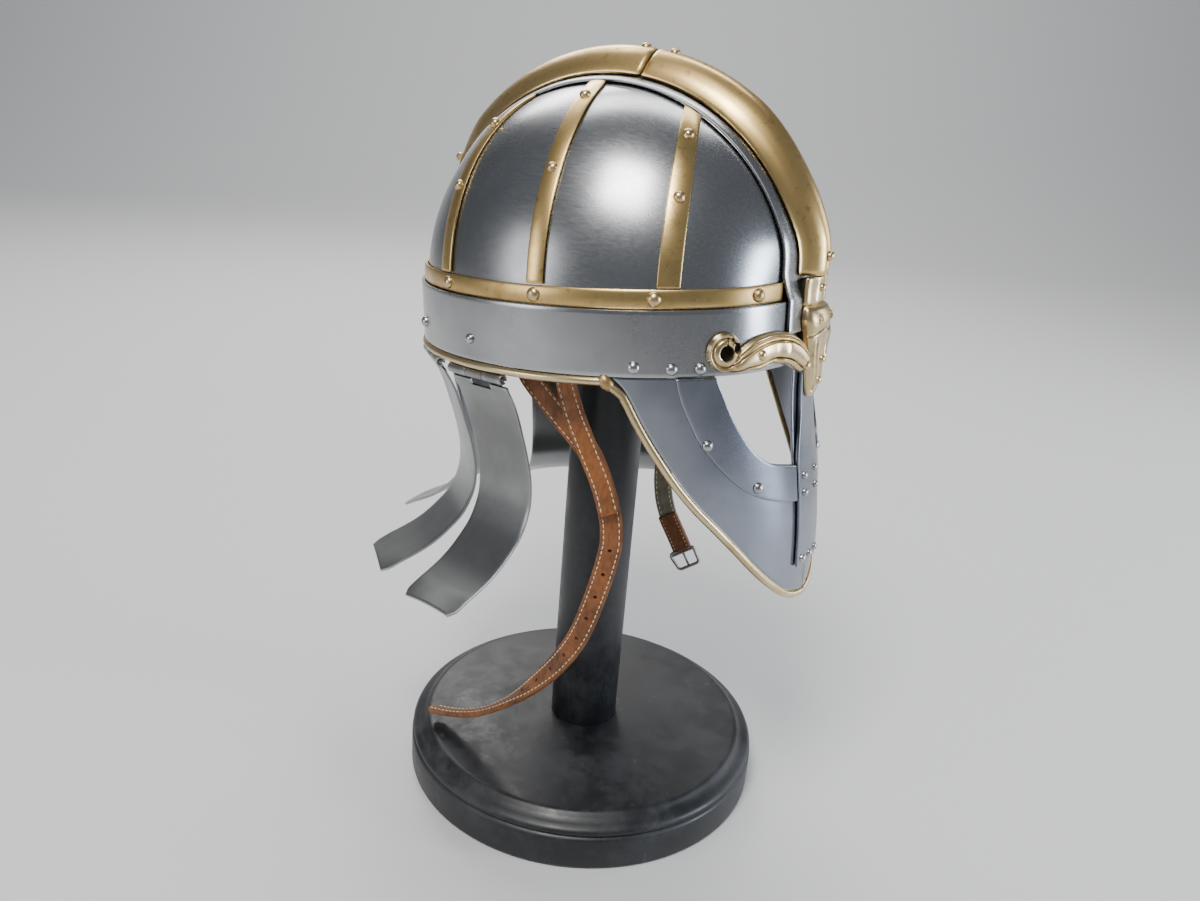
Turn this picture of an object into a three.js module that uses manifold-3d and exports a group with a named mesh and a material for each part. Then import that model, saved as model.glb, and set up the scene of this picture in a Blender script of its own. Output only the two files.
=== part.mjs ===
// Norse iron helmet with brass fittings on a black wooden stand. Millimetres, +Z up, face towards -Y.
import * as THREE from "three";
import Module from "manifold-3d";

const wasm = await Module();
wasm.setup();
const { Manifold } = wasm;

// ---- stand ----
const BASE_RADIUS = 112.6;
const BASE_TOP_RADIUS = 101.8;
const BASE_HEIGHT = 32.5;
const POST_RADIUS = 21.4;
const KNOB_RADIUS = 45;
const GAP = 0.3;

// ---- helmet frame: X to the wearer's left, Y to the back, Z up, origin in the rim plane ----
const HELMET_POSITION = [0, -1.92, 288.29];
const HELMET_TILT = THREE.MathUtils.degToRad(-5.03);
const BAND_LENGTH = 118;
const BAND_WIDTH = 98.4;
const BAND_TOP = 33;
const BAND_THICKNESS = 2;
const BOWL_LENGTH = 114;
const BOWL_WIDTH = 94.4;
const BOWL_HEIGHT = 110.5;
const BOWL_CENTRE = 30;
const BOWL_THICKNESS = 1.8;
const BRASS_BAND_TOP = 42;
const STRAP_HALF = 24;
const STRAP_THICKNESS = 1.8;
const RIB_HALF = 4.7;
const RIB_THICKNESS = 1.6;
const GUARD_THICKNESS = 1.8;
const RING_THICKNESS = 1.5;
const NOSE_HALF = 13.5;
const EDGING_RADIUS = 2.2;
const PLATE_HALF = 21.75;
const PLATE_THICKNESS = 1.6;
const PLATE_ANGLES = [16.7, 46, 90, 134, 163.3];
const HINGE_DROP = -7.8;
const HINGE_INSET = 3.4;
const BROW_SETBACK = 4;
const CHIN_ADVANCE = 2.4;

// ---- finishes ----
const finish = (name, color, roughness, metalness) =>
  Object.assign(new THREE.MeshStandardMaterial({ color, roughness, metalness }), { name });
const steel = finish("steel", 0xb4b8be, 0.3, 1);
const darkSteel = finish("dark_steel", 0x5a5854, 0.45, 1);
const brass = finish("brass", 0xc2a468, 0.32, 1);
const leather = finish("leather", 0xa9703a, 0.7, 0);
const blackWood = finish("black_wood", 0x191a1d, 0.5, 0);

const V = (x, y, z) => new THREE.Vector3(x, y, z);
const DEG = Math.PI / 180;
const helmet = new THREE.Group();
helmet.name = "helmet";
helmet.position.set(...HELMET_POSITION);
helmet.rotation.x = HELMET_TILT;
const group = new THREE.Group();
group.name = "norse_helmet_on_stand";
group.add(helmet);

// Signed volume of an indexed closed mesh.
function volumeOf(pts, tris) {
  let sum = 0;
  const b = V(0, 0, 0);
  for (let i = 0; i < tris.length; i += 3) {
    b.copy(pts[tris[i + 1]]).cross(pts[tris[i + 2]]);
    sum += pts[tris[i]].dot(b);
  }
  return sum / 6;
}

// The front of the helmet is flatter than an ellipse above the eyes and leans forward towards the chin.
const ease = THREE.MathUtils.smoothstep;
function leanFront(p) {
  const depth = p.z > 0 ? BROW_SETBACK * (1 - ease(p.z, 35, 65))
    : BROW_SETBACK - (BROW_SETBACK + CHIN_ADVANCE) * ease(-p.z, 10, 100);
  const share = (1 - ease(Math.abs(p.x), 18, 62)) * ease(-p.y, 50, 70);
  return V(p.x, p.y + depth * share, p.z);
}

// Adds one closed body, turning its faces outwards.
function solid(name, points, tris, material, parent = helmet) {
  const pts = parent === helmet ? points.map(leanFront) : points;
  const index = tris.slice();
  if (volumeOf(pts, index) < 0) {
    for (let i = 0; i < index.length; i += 3) {
      [index[i + 1], index[i + 2]] = [index[i + 2], index[i + 1]];
    }
  }
  const geometry = new THREE.BufferGeometry();
  geometry.setAttribute("position", new THREE.Float32BufferAttribute(pts.flatMap((p) => p.toArray()), 3));
  geometry.setIndex(index);
  geometry.computeVertexNormals();
  const mesh = new THREE.Mesh(geometry, material);
  mesh.name = name;
  parent.add(mesh);
  return mesh;
}

// A closed body between two matching point grids [row][column]; rows may close into a loop.
function between(name, outer, inner, material, loop = false, parent = helmet) {
  const rows = outer.length;
  const cols = outer[0].length;
  const pts = [...outer.flat(), ...inner.flat()];
  const at = (side, i, j) => side * rows * cols + (i % rows) * cols + j;
  const tris = [];
  const quad = (a, b, c, d) => tris.push(a, b, c, a, c, d);
  for (let i = 0; i < (loop ? rows : rows - 1); i += 1) {
    for (let j = 0; j < cols - 1; j += 1) {
      quad(at(0, i, j), at(0, i + 1, j), at(0, i + 1, j + 1), at(0, i, j + 1));
      quad(at(1, i, j), at(1, i, j + 1), at(1, i + 1, j + 1), at(1, i + 1, j));
    }
    quad(at(0, i, 0), at(1, i, 0), at(1, i + 1, 0), at(0, i + 1, 0));
    const k = cols - 1;
    quad(at(0, i, k), at(0, i + 1, k), at(1, i + 1, k), at(1, i, k));
  }
  if (!loop) {
    for (let j = 0; j < cols - 1; j += 1) {
      quad(at(0, 0, j), at(0, 0, j + 1), at(1, 0, j + 1), at(1, 0, j));
      const r = rows - 1;
      quad(at(0, r, j), at(1, r, j), at(1, r, j + 1), at(0, r, j + 1));
    }
  }
  return solid(name, pts, tris, material, parent);
}

// A closed body swept through rings of points; the ends are capped unless it loops.
function rings(name, list, material, loop = false, parent = helmet) {
  const n = list[0].length;
  const pts = list.flat();
  const tris = [];
  const last = loop ? list.length : list.length - 1;
  for (let i = 0; i < last; i += 1) {
    const a = i * n;
    const b = ((i + 1) % list.length) * n;
    for (let j = 0; j < n; j += 1) {
      const k = (j + 1) % n;
      tris.push(a + j, a + k, b + k, a + j, b + k, b + j);
    }
  }
  if (!loop) {
    const end = (list.length - 1) * n;
    for (let j = 1; j < n - 1; j += 1) {
      tris.push(0, j + 1, j, end, end + j, end + j + 1);
    }
  }
  return solid(name, pts, tris, material, parent);
}

// A body of revolution about Z from an open profile of [radius, z], both ends on the axis.
function turned(name, profile, segments, material) {
  const body = Manifold.revolve([profile], segments);
  return fromManifold(name, body, material, group);
}

function fromManifold(name, body, material, parent = helmet) {
  const mesh = body.getMesh();
  const pts = [];
  for (let i = 0; i < mesh.numVert; i += 1) {
    pts.push(V(...mesh.vertProperties.slice(i * mesh.numProp, i * mesh.numProp + 3)));
  }
  return solid(name, pts, Array.from(mesh.triVerts), material, parent);
}

// Samples an open polyline of arrays at n evenly spaced places, by length.
function resample(line, n) {
  const span = [0];
  for (let i = 1; i < line.length; i += 1) {
    span.push(span[i - 1] + Math.hypot(...line[i].map((c, k) => c - line[i - 1][k])));
  }
  const out = [];
  for (let i = 0; i < n; i += 1) {
    const s = (span[span.length - 1] * i) / (n - 1);
    let k = 1;
    while (k < line.length - 1 && span[k] < s) {
      k += 1;
    }
    const f = (s - span[k - 1]) / (span[k] - span[k - 1]);
    out.push(line[k].map((c, m) => line[k - 1][m] + (c - line[k - 1][m]) * f));
  }
  return out;
}

// ---- surfaces ----
// Point on the elliptical wall at eccentric angle t (0 = front, positive to the wearer's left).
function wall(t, z, offset) {
  const p = V(BAND_WIDTH * Math.sin(t), -BAND_LENGTH * Math.cos(t), z);
  const n = V(Math.sin(t) / BAND_WIDTH, -Math.cos(t) / BAND_LENGTH, 0).normalize();
  return p.addScaledVector(n, offset);
}

// Point on the wall at lateral place x, on the front half.
const front = (x, z, offset) => wall(Math.asin(Math.max(-1, Math.min(1, x / BAND_WIDTH))), z, offset);

// Point on the bowl above a plan position, lifted along the surface normal.
function lift(p, offset) {
  const n = V(p.x / BOWL_WIDTH ** 2, p.y / BOWL_LENGTH ** 2, (p.z - BOWL_CENTRE) / BOWL_HEIGHT ** 2);
  return p.clone().addScaledVector(n.normalize(), offset);
}

// Bowl point at lateral place x and angle v over the crown (0 = front, PI = back).
function crown(x, v, offset) {
  const s = Math.sqrt(1 - (x / BOWL_WIDTH) ** 2);
  const y = -BOWL_LENGTH * s * Math.cos(v);
  return lift(V(x, y, BOWL_CENTRE + BOWL_HEIGHT * s * Math.sin(v)), offset);
}

const steps = (a, b, n) => Array.from({ length: n }, (_, i) => a + ((b - a) * i) / (n - 1));

// ---- stand ----
turned("stand_base", [
  [0, 0], [BASE_RADIUS, 0], [BASE_RADIUS, 21], [BASE_RADIUS - 1.8, 21.6], [BASE_RADIUS - 1.4, 23],
  [BASE_RADIUS - 0.8, 25], [BASE_RADIUS - 2.6, 27], [BASE_RADIUS - 6, 28.6], [BASE_TOP_RADIUS, BASE_HEIGHT],
  [0, BASE_HEIGHT],
], 48, blackWood);
const KNOB_TOP = HELMET_POSITION[2] + BOWL_CENTRE + BOWL_HEIGHT - BOWL_THICKNESS - 2.2;
const KNOB_BASE = KNOB_TOP - 42;
turned("stand_post", [
  [0, BASE_HEIGHT + GAP], [POST_RADIUS, BASE_HEIGHT + GAP], [POST_RADIUS, KNOB_BASE - GAP], [0, KNOB_BASE - GAP],
], 32, blackWood);
turned("stand_knob", [
  [0, KNOB_BASE], [30, KNOB_BASE], [40, KNOB_BASE + 6], [KNOB_RADIUS, KNOB_BASE + 16],
  [KNOB_RADIUS - 2, KNOB_BASE + 26], [KNOB_RADIUS - 11, KNOB_BASE + 35], [20, KNOB_BASE + 40], [0, KNOB_TOP],
], 32, blackWood);

// ---- bowl, in two halves under the central strap ----
function bowlShell() {
  const ball = (shrink) => Manifold.sphere(1, 48)
    .scale([BOWL_WIDTH - shrink, BOWL_LENGTH - shrink, BOWL_HEIGHT - shrink])
    .translate([0, 0, BOWL_CENTRE]);
  return ball(0).subtract(ball(BOWL_THICKNESS)).trimByPlane([0, 0, 1], 23);
}
fromManifold("bowl_right", bowlShell().trimByPlane([-1, 0, 0], GAP / 2), steel);
fromManifold("bowl_left", bowlShell().trimByPlane([1, 0, 0], GAP / 2), steel);

// ---- brow band: one closed hoop ----
const AROUND = steps(0, 2 * Math.PI, 65).slice(0, 64);
between(
  "brow_band",
  AROUND.map((t) => [wall(t, 0, 0), wall(t, BAND_TOP - GAP, 0)]),
  AROUND.map((t) => [wall(t, 0, -BAND_THICKNESS), wall(t, BAND_TOP - GAP, -BAND_THICKNESS)]),
  steel, true,
);

// ---- brass band on the joint of bowl and brow band, open at the front ----
const BRASS_GAP_ANGLE = Math.asin((STRAP_HALF + 1.4) / BAND_WIDTH);
function brassBand(offset) {
  return steps(BRASS_GAP_ANGLE, 2 * Math.PI - BRASS_GAP_ANGLE, 61).map((t) =>
    steps(BAND_TOP, BRASS_BAND_TOP, 2).map((z) => {
      const s = Math.sqrt(1 - ((z - BOWL_CENTRE) / BOWL_HEIGHT) ** 2);
      return lift(V(BOWL_WIDTH * s * Math.sin(t), -BOWL_LENGTH * s * Math.cos(t), z), offset);
    }));
}
between("brass_band", brassBand(2.4), brassBand(0.4), brass);

// ---- central strap: nape to brow, running down over the brow band at the front ----
const STRAP_ACROSS = steps(-STRAP_HALF, STRAP_HALF, 7);
const FRONT_ANGLE = Math.asin((46 - BOWL_CENTRE) / BOWL_HEIGHT);
const BACK_ANGLE = Math.PI - Math.asin((46.5 - BOWL_CENTRE) / BOWL_HEIGHT);
function strapSurface(offset) {
  const down = [16.5, 28, 34].map((z) => STRAP_ACROSS.map((x) => front(x, z, offset)));
  const over = steps(FRONT_ANGLE, BACK_ANGLE, 28).map((v) => STRAP_ACROSS.map((x) => crown(x, v, offset + 0.2)));
  return [...down, ...over];
}
between("central_strap", strapSurface(0.4 + STRAP_THICKNESS), strapSurface(0.4), steel);

// ---- three brass ribs on each side: height on the bowl runs from the brass band to the strap ----
const RIBS = [
  { name: "front", low: -69.5, high: -56, bend: 2.4 },
  { name: "middle", low: -7.2, high: -2, bend: 4 },
  { name: "rear", low: 57, high: 41, bend: 3.5 },
];
function ribSurface(rib, side, offset) {
  const along = steps(0, 1, 12);
  return along.map((f) => [-RIB_HALF, 0, RIB_HALF].map((u) => {
    const y = rib.low + (rib.high - rib.low) * f ** rib.bend + u;
    const s = Math.sqrt(1 - (y / BOWL_LENGTH) ** 2);
    const start = Math.asin((BRASS_BAND_TOP + 0.6 - BOWL_CENTRE) / (BOWL_HEIGHT * s));
    const end = Math.acos((STRAP_HALF + 1.1) / (BOWL_WIDTH * s));
    const v = start + (end - start) * f;
    return lift(V(side * BOWL_WIDTH * s * Math.cos(v), y, BOWL_CENTRE + BOWL_HEIGHT * s * Math.sin(v)), offset);
  }));
}
for (const [sideName, side] of [["right", -1], ["left", 1]]) {
  for (const rib of RIBS) {
    between(
      `rib_${rib.name}_${sideName}`, ribSurface(rib, side, 0.4 + RIB_THICKNESS), ribSurface(rib, side, 0.4), brass,
    );
  }
}

// ---- crest: a hollow-sided roof of brass in two lengths, and a small terminal at the nape ----
const crownAngle = (y) => Math.acos(-y / BOWL_LENGTH);
const CREST_SECTION = [[0, 13.2], [5.2, 11.2], [10.5, 6.6], [17, 1.4], [17, 0], [8.5, 0], [0, 0], [-8.5, 0],
  [-17, 0], [-17, 1.4], [-10.5, 6.6], [-5.2, 11.2]];
// The ridge is lowest over the brow and rises towards the nape.
const ridgeRise = (v) => 0.73 + 0.18 * ease(v, 0.5, 0.9) + 0.09 * ease(v, 1.3, 2);
function crestRing(v, widthScale, heightScale) {
  const lifted = STRAP_THICKNESS + 1.5;
  return CREST_SECTION.map(([x, h]) => crown(x * widthScale, v, lifted + h * heightScale * ridgeRise(v)));
}
const CREST_JOINT = crownAngle(-21);
const CREST_FRONT = Math.asin((44.3 - BOWL_CENTRE) / (BOWL_HEIGHT + 3));
const CREST_BACK = Math.PI - Math.asin((88 - BOWL_CENTRE) / (BOWL_HEIGHT + 3));
rings("crest_front", steps(CREST_FRONT, CREST_JOINT - 0.003, 14).map((v, i) =>
  crestRing(v, 0.86 + 0.14 * Math.min(1, i / 5), i === 0 ? 0.8 : 1)), brass);
rings("crest_back", steps(CREST_JOINT + 0.003, CREST_BACK, 14).map((v, i) =>
  crestRing(v, i > 10 ? 1 - 0.12 * (i - 10) : 1, i > 10 ? 1 - 0.2 * (i - 10) : 1)), brass);
const TAIL_END = Math.PI - Math.asin((64 - BOWL_CENTRE) / (BOWL_HEIGHT + 3));
rings("crest_tail", steps(CREST_BACK + 0.004, TAIL_END, 5).map((v, i) =>
  crestRing(v, 0.5 - 0.07 * i, 0.42 - 0.07 * i)), brass);

// ---- beast head: cast brass, from the crest's front end down over the brow to a snout ----
// Each ring: height, half width, front reach beyond the wall, back offset from the wall.
const HEAD_RINGS = [
  [43.6, 13.4, 5.8, 2.9], [40, 13.6, 6, 2.9], [33, 13.4, 6, 2.9], [28.4, 12.6, 6.8, 2.9],
  [25.6, 13.4, 9, 2.9], [20, 14.2, 10.2, 2.9], [13, 12.6, 9.2, 2.9], [5, 10.6, 8.8, 2.9],
  [-4, 9.2, 8.2, 2.9], [-12, 7.8, 7.2, 2.9], [-17.5, 6, 5.6, 2.9], [-20, 3.4, 4.2, 2.9],
];
rings("beast_head", HEAD_RINGS.map(([z, w, reach, back]) => {
  const ring = [];
  for (const [x, h] of [[0, 1], [0.42, 0.95], [0.82, 0.74], [1, 0.42], [1, 0], [0, 0], [-1, 0], [-1, 0.42],
    [-0.82, 0.74], [-0.42, 0.95]]) {
    ring.push(front(x * w, z, back + (reach - back) * h));
  }
  return ring;
}), brass);

// ---- eyebrows: cast brass, an S from a pierced disc at the temple to the beast's snout ----
const BROW_LINE = [[66.8, 12, 7.6], [59.8, 12, 10], [52.1, 8.8, 8.6], [45.1, 9.6, 8.4], [38.3, 11.2, 8.1],
  [29.8, 10.9, 7.9], [22.4, 8.1, 7.4], [16.8, 4.2, 5.6]];
function eyebrow(name, side) {
  const list = BROW_LINE.map(([x, z, half], i) => {
    const a = BROW_LINE[Math.max(0, i - 1)];
    const b = BROW_LINE[Math.min(BROW_LINE.length - 1, i + 1)];
    const length = Math.hypot(b[0] - a[0], b[1] - a[1]);
    const nx = -(b[1] - a[1]) / length;
    const nz = (b[0] - a[0]) / length;
    const lifted = x < STRAP_HALF + 6 ? 2.7 : 0.4;
    return [[-1, 0], [-0.9, 2.2], [-0.3, 4.2], [0.3, 4.2], [0.9, 2.2], [1, 0]].map(([u, h]) =>
      front(side * (x + nx * u * half), z + nz * u * half, lifted + h));
  });
  rings(name, list, brass);
}

// ---- face guards and their strips: outlines as [eccentric angle, z] from temple to nose ----
const angleOf = (x, y) => Math.atan2(x / BAND_WIDTH, -y / BAND_LENGTH);
const GUARD_OUTER = [[89.7, -48.3, -0.3], [87.9, -52.9, -5], [86.3, -56.5, -11], [84.2, -61, -20.9],
  [81.8, -65.5, -30.1], [79.3, -69.8, -38.3], [73.4, -78.4, -54.2], [66.7, -86.7, -67.6], [58.7, -94.6, -79.7],
  [49.2, -102.2, -93.2], [40.4, -107.5, -105], [29.9, -112.4, -116.2], [16.4, -116.3, -126.1],
  [0.3, -118, -130.5], [0.3, -118, -112], [0.3, -118, -90], [0.3, -118, -66], [0.3, -118, -40],
  [0.3, -118, -20], [0.3, -118, -0.3]];
const EYE_EDGE = [[62.6, -90.9, -0.3], [62, -91.5, -3.5], [60.1, -93.3, -9.4], [56.6, -96.5, -19.9],
  [51.9, -100.3, -29.8], [46.7, -103.9, -38], [41, -107.2, -44.3], [34.7, -110.4, -48.8], [31, -112, -50.4],
  [27.5, -113.2, -51.5], [23, -114.6, -52.6], [19, -115.7, -53.6], [16.5, -116.3, -54.2], [14.3, -116.7, -54.7],
  [14, -116.8, -51], [14, -116.8, -46], [14, -116.8, -38], [14, -116.8, -24], [14, -116.8, -12],
  [14, -116.8, -0.3]];
const RING_OUTER = [[75.7, -75.3, -0.3], [74.2, -77.5, -10.9], [71, -81.7, -23.7], [67.5, -85.8, -34.2],
  [59.7, -93.7, -48.2], [50.6, -101.1, -59.2], [39.6, -107.9, -66.9], [25.8, -113.8, -71.9],
  [14.4, -116.7, -74.4]];
const toWall = (line) => line.map(([x, y, z]) => [angleOf(x, y), z]);
function stripSurface(outer, inner, across, side, offset) {
  return outer.map((p, i) => steps(0, 1, across).map((f) =>
    wall(side * (p[0] + (inner[i][0] - p[0]) * f), p[1] + (inner[i][1] - p[1]) * f, offset)));
}
const scaled = (line) => line.map(([t, z]) => [t * 108, z]);
const unscaled = (line) => line.map(([t, z]) => [t / 108, z]);
for (const [sideName, side] of [["right", -1], ["left", 1]]) {
  const outer = toWall(GUARD_OUTER);
  const inner = toWall(EYE_EDGE);
  between(
    `face_guard_${sideName}`, stripSurface(outer, inner, 6, side, 0),
    stripSurface(outer, inner, 6, side, -GUARD_THICKNESS), steel,
  );
  const ringOuter = unscaled(resample(scaled(toWall(RING_OUTER)), 15));
  const ringInner = unscaled(resample(scaled(toWall(EYE_EDGE.slice(0, 14))), 15));
  between(
    `eye_ring_${sideName}`, stripSurface(ringOuter, ringInner, 3, side, 0.45 + RING_THICKNESS),
    stripSurface(ringOuter, ringInner, 3, side, 0.45), steel,
  );
  eyebrow(`eyebrow_${sideName}`, side);
}
// The strap runs up behind the beast's snout and is narrowest there.
const NOSE_ROWS = steps(-4, -113, 16);
const noseHalf = (z) => NOSE_HALF - 4 * (1 - ease(-z, 25, 55));
const noseSurface = (offset) => NOSE_ROWS.map((z) =>
  steps(-noseHalf(z), noseHalf(z), 7).map((x) => front(x, z, offset)));
between("nasal_strap", noseSurface(0.4 + 2.2), noseSurface(0.4), steel);

// ---- the rivets that stand proudest: two on the ridge of the crest and one at the chin ----
function rivet(name, at, above, radius, height, material) {
  const profile = [[0, 0], [radius, 0], [0.93 * radius, 0.5 * height], [0.62 * radius, 0.86 * height], [0, height]];
  const normal = above.clone().sub(at).normalize();
  const turn = new THREE.Quaternion().setFromUnitVectors(V(0, 0, 1), normal);
  const seat = new THREE.Matrix4().compose(at, turn, V(1, 1, 1));
  fromManifold(name, Manifold.revolve([profile], 20).transform(seat.elements), material);
}
["front", "back"].forEach((place, i) => {
  const angle = crownAngle([-33.6, -16.6][i]);
  const ridge = STRAP_THICKNESS + 1.5 + 13.2 * ridgeRise(angle) + 0.15;
  rivet(`crest_rivet_${place}`, crown(0, angle, ridge), crown(0, angle, ridge + 1), 2.8, 2.5, brass);
});
rivet("chin_rivet", front(0, -108.9, 2.8), front(0, -108.9, 3.8), 2.2, 1.9, steel);

// ---- rolled edging: a tube along a line of points, its section standing square to the line ----
function tube(name, line, radius, sides, material, loop = false) {
  const list = line.map((p, i) => {
    const a = line[loop ? (i + line.length - 1) % line.length : Math.max(0, i - 1)];
    const b = line[loop ? (i + 1) % line.length : Math.min(line.length - 1, i + 1)];
    const along = b.clone().sub(a).normalize();
    const radial = V(p.x, p.y, 0).normalize();
    const e1 = radial.addScaledVector(along, -radial.dot(along)).normalize();
    const e2 = along.clone().cross(e1);
    return Array.from({ length: sides }, (_, k) => {
      const w = (2 * Math.PI * (k + 0.5)) / sides;
      return p.clone().addScaledVector(e1, radius * Math.cos(w)).addScaledVector(e2, radius * Math.sin(w));
    });
  });
  return rings(name, list, material, loop);
}
// The edging stands 0.3 mm outside the edge it finishes.
const EDGE_OUT = EDGING_RADIUS + GAP;
for (const [sideName, side] of [["right", -1], ["left", 1]]) {
  const flat = scaled(toWall(GUARD_OUTER.slice(1, 14)));
  const line = flat.map((p, i) => {
    const a = flat[Math.max(0, i - 1)];
    const b = flat[Math.min(flat.length - 1, i + 1)];
    const length = Math.hypot(b[0] - a[0], b[1] - a[1]);
    const out = [(-(b[1] - a[1]) / length) * -1, ((b[0] - a[0]) / length) * -1];
    const last = i === flat.length - 1;
    const t = last ? 0.8 / 108 : (p[0] + Math.abs(out[0]) * EDGE_OUT) / 108;
    const z = last ? p[1] - EDGE_OUT : p[1] - Math.abs(out[1]) * EDGE_OUT;
    return wall(side * t, z, -GUARD_THICKNESS / 2);
  });
  tube(`face_edging_${sideName}`, line, EDGING_RADIUS, 8, brass);
}
const CORNER = angleOf(89.7, -48.3) + 0.045;
tube(
  "rim_edging",
  steps(CORNER, 2 * Math.PI - CORNER, 44).map((t) => wall(t, -EDGE_OUT, -BAND_THICKNESS / 2)),
  EDGING_RADIUS, 8, brass,
);

// ---- hinged neck plates ----
// Swing profile: outward distance and drop from the hinge line.
const PLATE_PROFILE = [[-3.2, -7], [-6.6, -14], [-9.4, -22], [-11.5, -30], [-15.5, -47], [-17.3, -62], [-15.7, -76],
  [-9.5, -89], [-1, -98], [10, -106.5], [23, -113], [40, -119.5]];
const PLATE_WIDTHS = [1, 1, 1, 1, 1, 1, 1, 1, 1, 1, 1, 0.86];
PLATE_ANGLES.forEach((angle, index) => {
  const t = angle * DEG;
  const out = V(-Math.cos(t) / BAND_WIDTH, Math.sin(t) / BAND_LENGTH, 0).normalize();
  const along = V(out.y, -out.x, 0);
  const centre = V(-BAND_WIDTH * Math.cos(t), BAND_LENGTH * Math.sin(t), HINGE_DROP).addScaledVector(out, -HINGE_INSET);
  const place = (a, n, z) => centre.clone().addScaledVector(along, a).addScaledVector(out, n).add(V(0, 0, z));
  const number = index + 1;
  const outer = [];
  const inner = [];
  PLATE_PROFILE.forEach(([n, z], i) => {
    const a = PLATE_PROFILE[Math.max(0, i - 1)];
    const b = PLATE_PROFILE[Math.min(PLATE_PROFILE.length - 1, i + 1)];
    const length = Math.hypot(b[0] - a[0], b[1] - a[1]);
    const nn = -(b[1] - a[1]) / length;
    const nz = (b[0] - a[0]) / length;
    const half = PLATE_HALF * PLATE_WIDTHS[i];
    outer.push([-1, 0, 1].map((s) => place(s * half, n + (nn * PLATE_THICKNESS) / 2, z + (nz * PLATE_THICKNESS) / 2)));
    inner.push([-1, 0, 1].map((s) => place(s * half, n - (nn * PLATE_THICKNESS) / 2, z - (nz * PLATE_THICKNESS) / 2)));
  });
  const turn = new THREE.Matrix4().makeBasis(along, out, V(0, 0, 1)).setPosition(centre);
  const fitted = (body) => body.transform(turn.toArray());
  const knuckle = (from, to) => Manifold.cylinder(to - from, 2.7, 2.7, 16).translate([0, 0, from])
    .rotate([0, 90, 0]);
  const web = (from, to) => Manifold.hull([from, to].flatMap((x) => [
    [x, -1.1, -2], [x, 1, -2], [x, -4.7, -8.6], [x, -2.9, -9],
  ]));
  const bore = Manifold.cylinder(60, 1.45, 1.45, 16, true).rotate([0, 90, 0]);
  const sheetMesh = between("sheet", outer, inner, steel);
  helmet.remove(sheetMesh);
  const sheet = new Manifold(new wasm.Mesh({
    numProp: 3,
    vertProperties: new Float32Array(sheetMesh.geometry.attributes.position.array),
    triVerts: new Uint32Array(sheetMesh.geometry.index.array),
  }));
  const arms = Manifold.union([knuckle(-21.7, -7.3), knuckle(7.3, 21.7), web(-21.7, -7.3), web(7.3, 21.7)])
    .subtract(bore);
  fromManifold(`neck_plate_${number}`, sheet.add(fitted(arms)), steel);
  const leaf = Manifold.union([
    knuckle(-6.9, 6.9),
    Manifold.cube([13.8, 1.6, 24]).translate([-6.9, -2, 1]),
  ]).subtract(bore);
  fromManifold(`hinge_leaf_${number}`, fitted(leaf), darkSteel);
  fromManifold(`hinge_pin_${number}`, fitted(Manifold.cylinder(43.6, 1.15, 1.15, 12, true).rotate([0, 90, 0])), darkSteel);
});

// ---- leather straps, in the stand's frame: centre line, facing and width ----
function strapBand(name, line, width, thickness) {
  const list = line.map(([x, y, z, nx, ny, nz], i) => {
    const a = line[Math.max(0, i - 1)];
    const b = line[Math.min(line.length - 1, i + 1)];
    const along = V(b[0] - a[0], b[1] - a[1], b[2] - a[2]).normalize();
    const face = V(nx, ny, nz);
    face.addScaledVector(along, -face.dot(along)).normalize();
    const across = along.clone().cross(face);
    return [[-1, -1], [1, -1], [1, 1], [-1, 1]].map(([u, v]) =>
      V(x, y, z).addScaledVector(across, (u * width) / 2).addScaledVector(face, (v * thickness) / 2));
  });
  return rings(name, list, leather, false, group);
}
strapBand("chin_strap_right", [
  [-80.5, 9, 291, -1, 0, 0], [-80.5, 4, 280, -1, -0.1, 0], [-77.5, -14, 262, -0.95, -0.3, 0],
  [-75, -31, 246, -0.87, -0.48, 0.1], [-75, -41, 230, -0.87, -0.48, 0.1], [-75, -47.5, 214, -0.87, -0.48, 0.1],
  [-75, -49.5, 203, -0.87, -0.48, 0.2], [-75, -49.3, 193, -0.87, -0.46, 0.25], [-75, -45, 171.5, -0.85, -0.4, 0.35],
  [-75, -35.5, 138.6, -0.8, -0.3, 0.5], [-75, -24, 116, -0.7, -0.25, 0.7], [-74, -10, 96.5, -0.5, -0.2, 0.85],
  [-73, 7, 77, -0.2, -0.15, 1], [-72, 28, 58.5, 0.05, -0.1, 1], [-71, 50, 46.5, 0.25, 0, 1],
  [-69.5, 72, 39.5, 0.35, 0, 1],
], 12, 3.4);
strapBand("chin_strap_right_front", [
  [-84, -19, 292, -1, 0, 0], [-83.2, -20.5, 281, -1, -0.1, 0], [-81, -26, 264, -0.97, -0.25, 0],
  [-79.2, -34, 247, -0.87, -0.48, 0.1], [-79.1, -43.5, 230.5, -0.87, -0.48, 0.1],
  [-79.3, -49.6, 216, -0.87, -0.48, 0.1],
], 11, 3);
strapBand("chin_strap_left", [
  [82, -19, 291, 1, 0, 0], [82, -17.5, 279, 1, 0, 0], [78, -13, 250, 1, 0, 0], [73, -9.5, 222, 1, 0, 0],
  [70, -8, 200, 1, 0, 0], [67.5, -8.5, 183, 0.97, 0.2, 0], [66, -12, 166, 0.95, 0.3, 0],
  [66, -19, 150, 0.92, 0.4, 0], [66, -25, 141, 0.92, 0.4, 0],
], 12, 3.4);
const BUCKLE_AT = V(66, -32, 128.6);
const buckle = Manifold.cube([2.2, 20, 17], true).subtract(Manifold.cube([6, 15.6, 12.6], true))
  .add(Manifold.cube([2, 1.8, 13.6], true))
  .rotate([-32, 0, 24]).translate(BUCKLE_AT.toArray());
fromManifold("chin_strap_buckle", buckle, darkSteel, group);

export default group;
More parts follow.
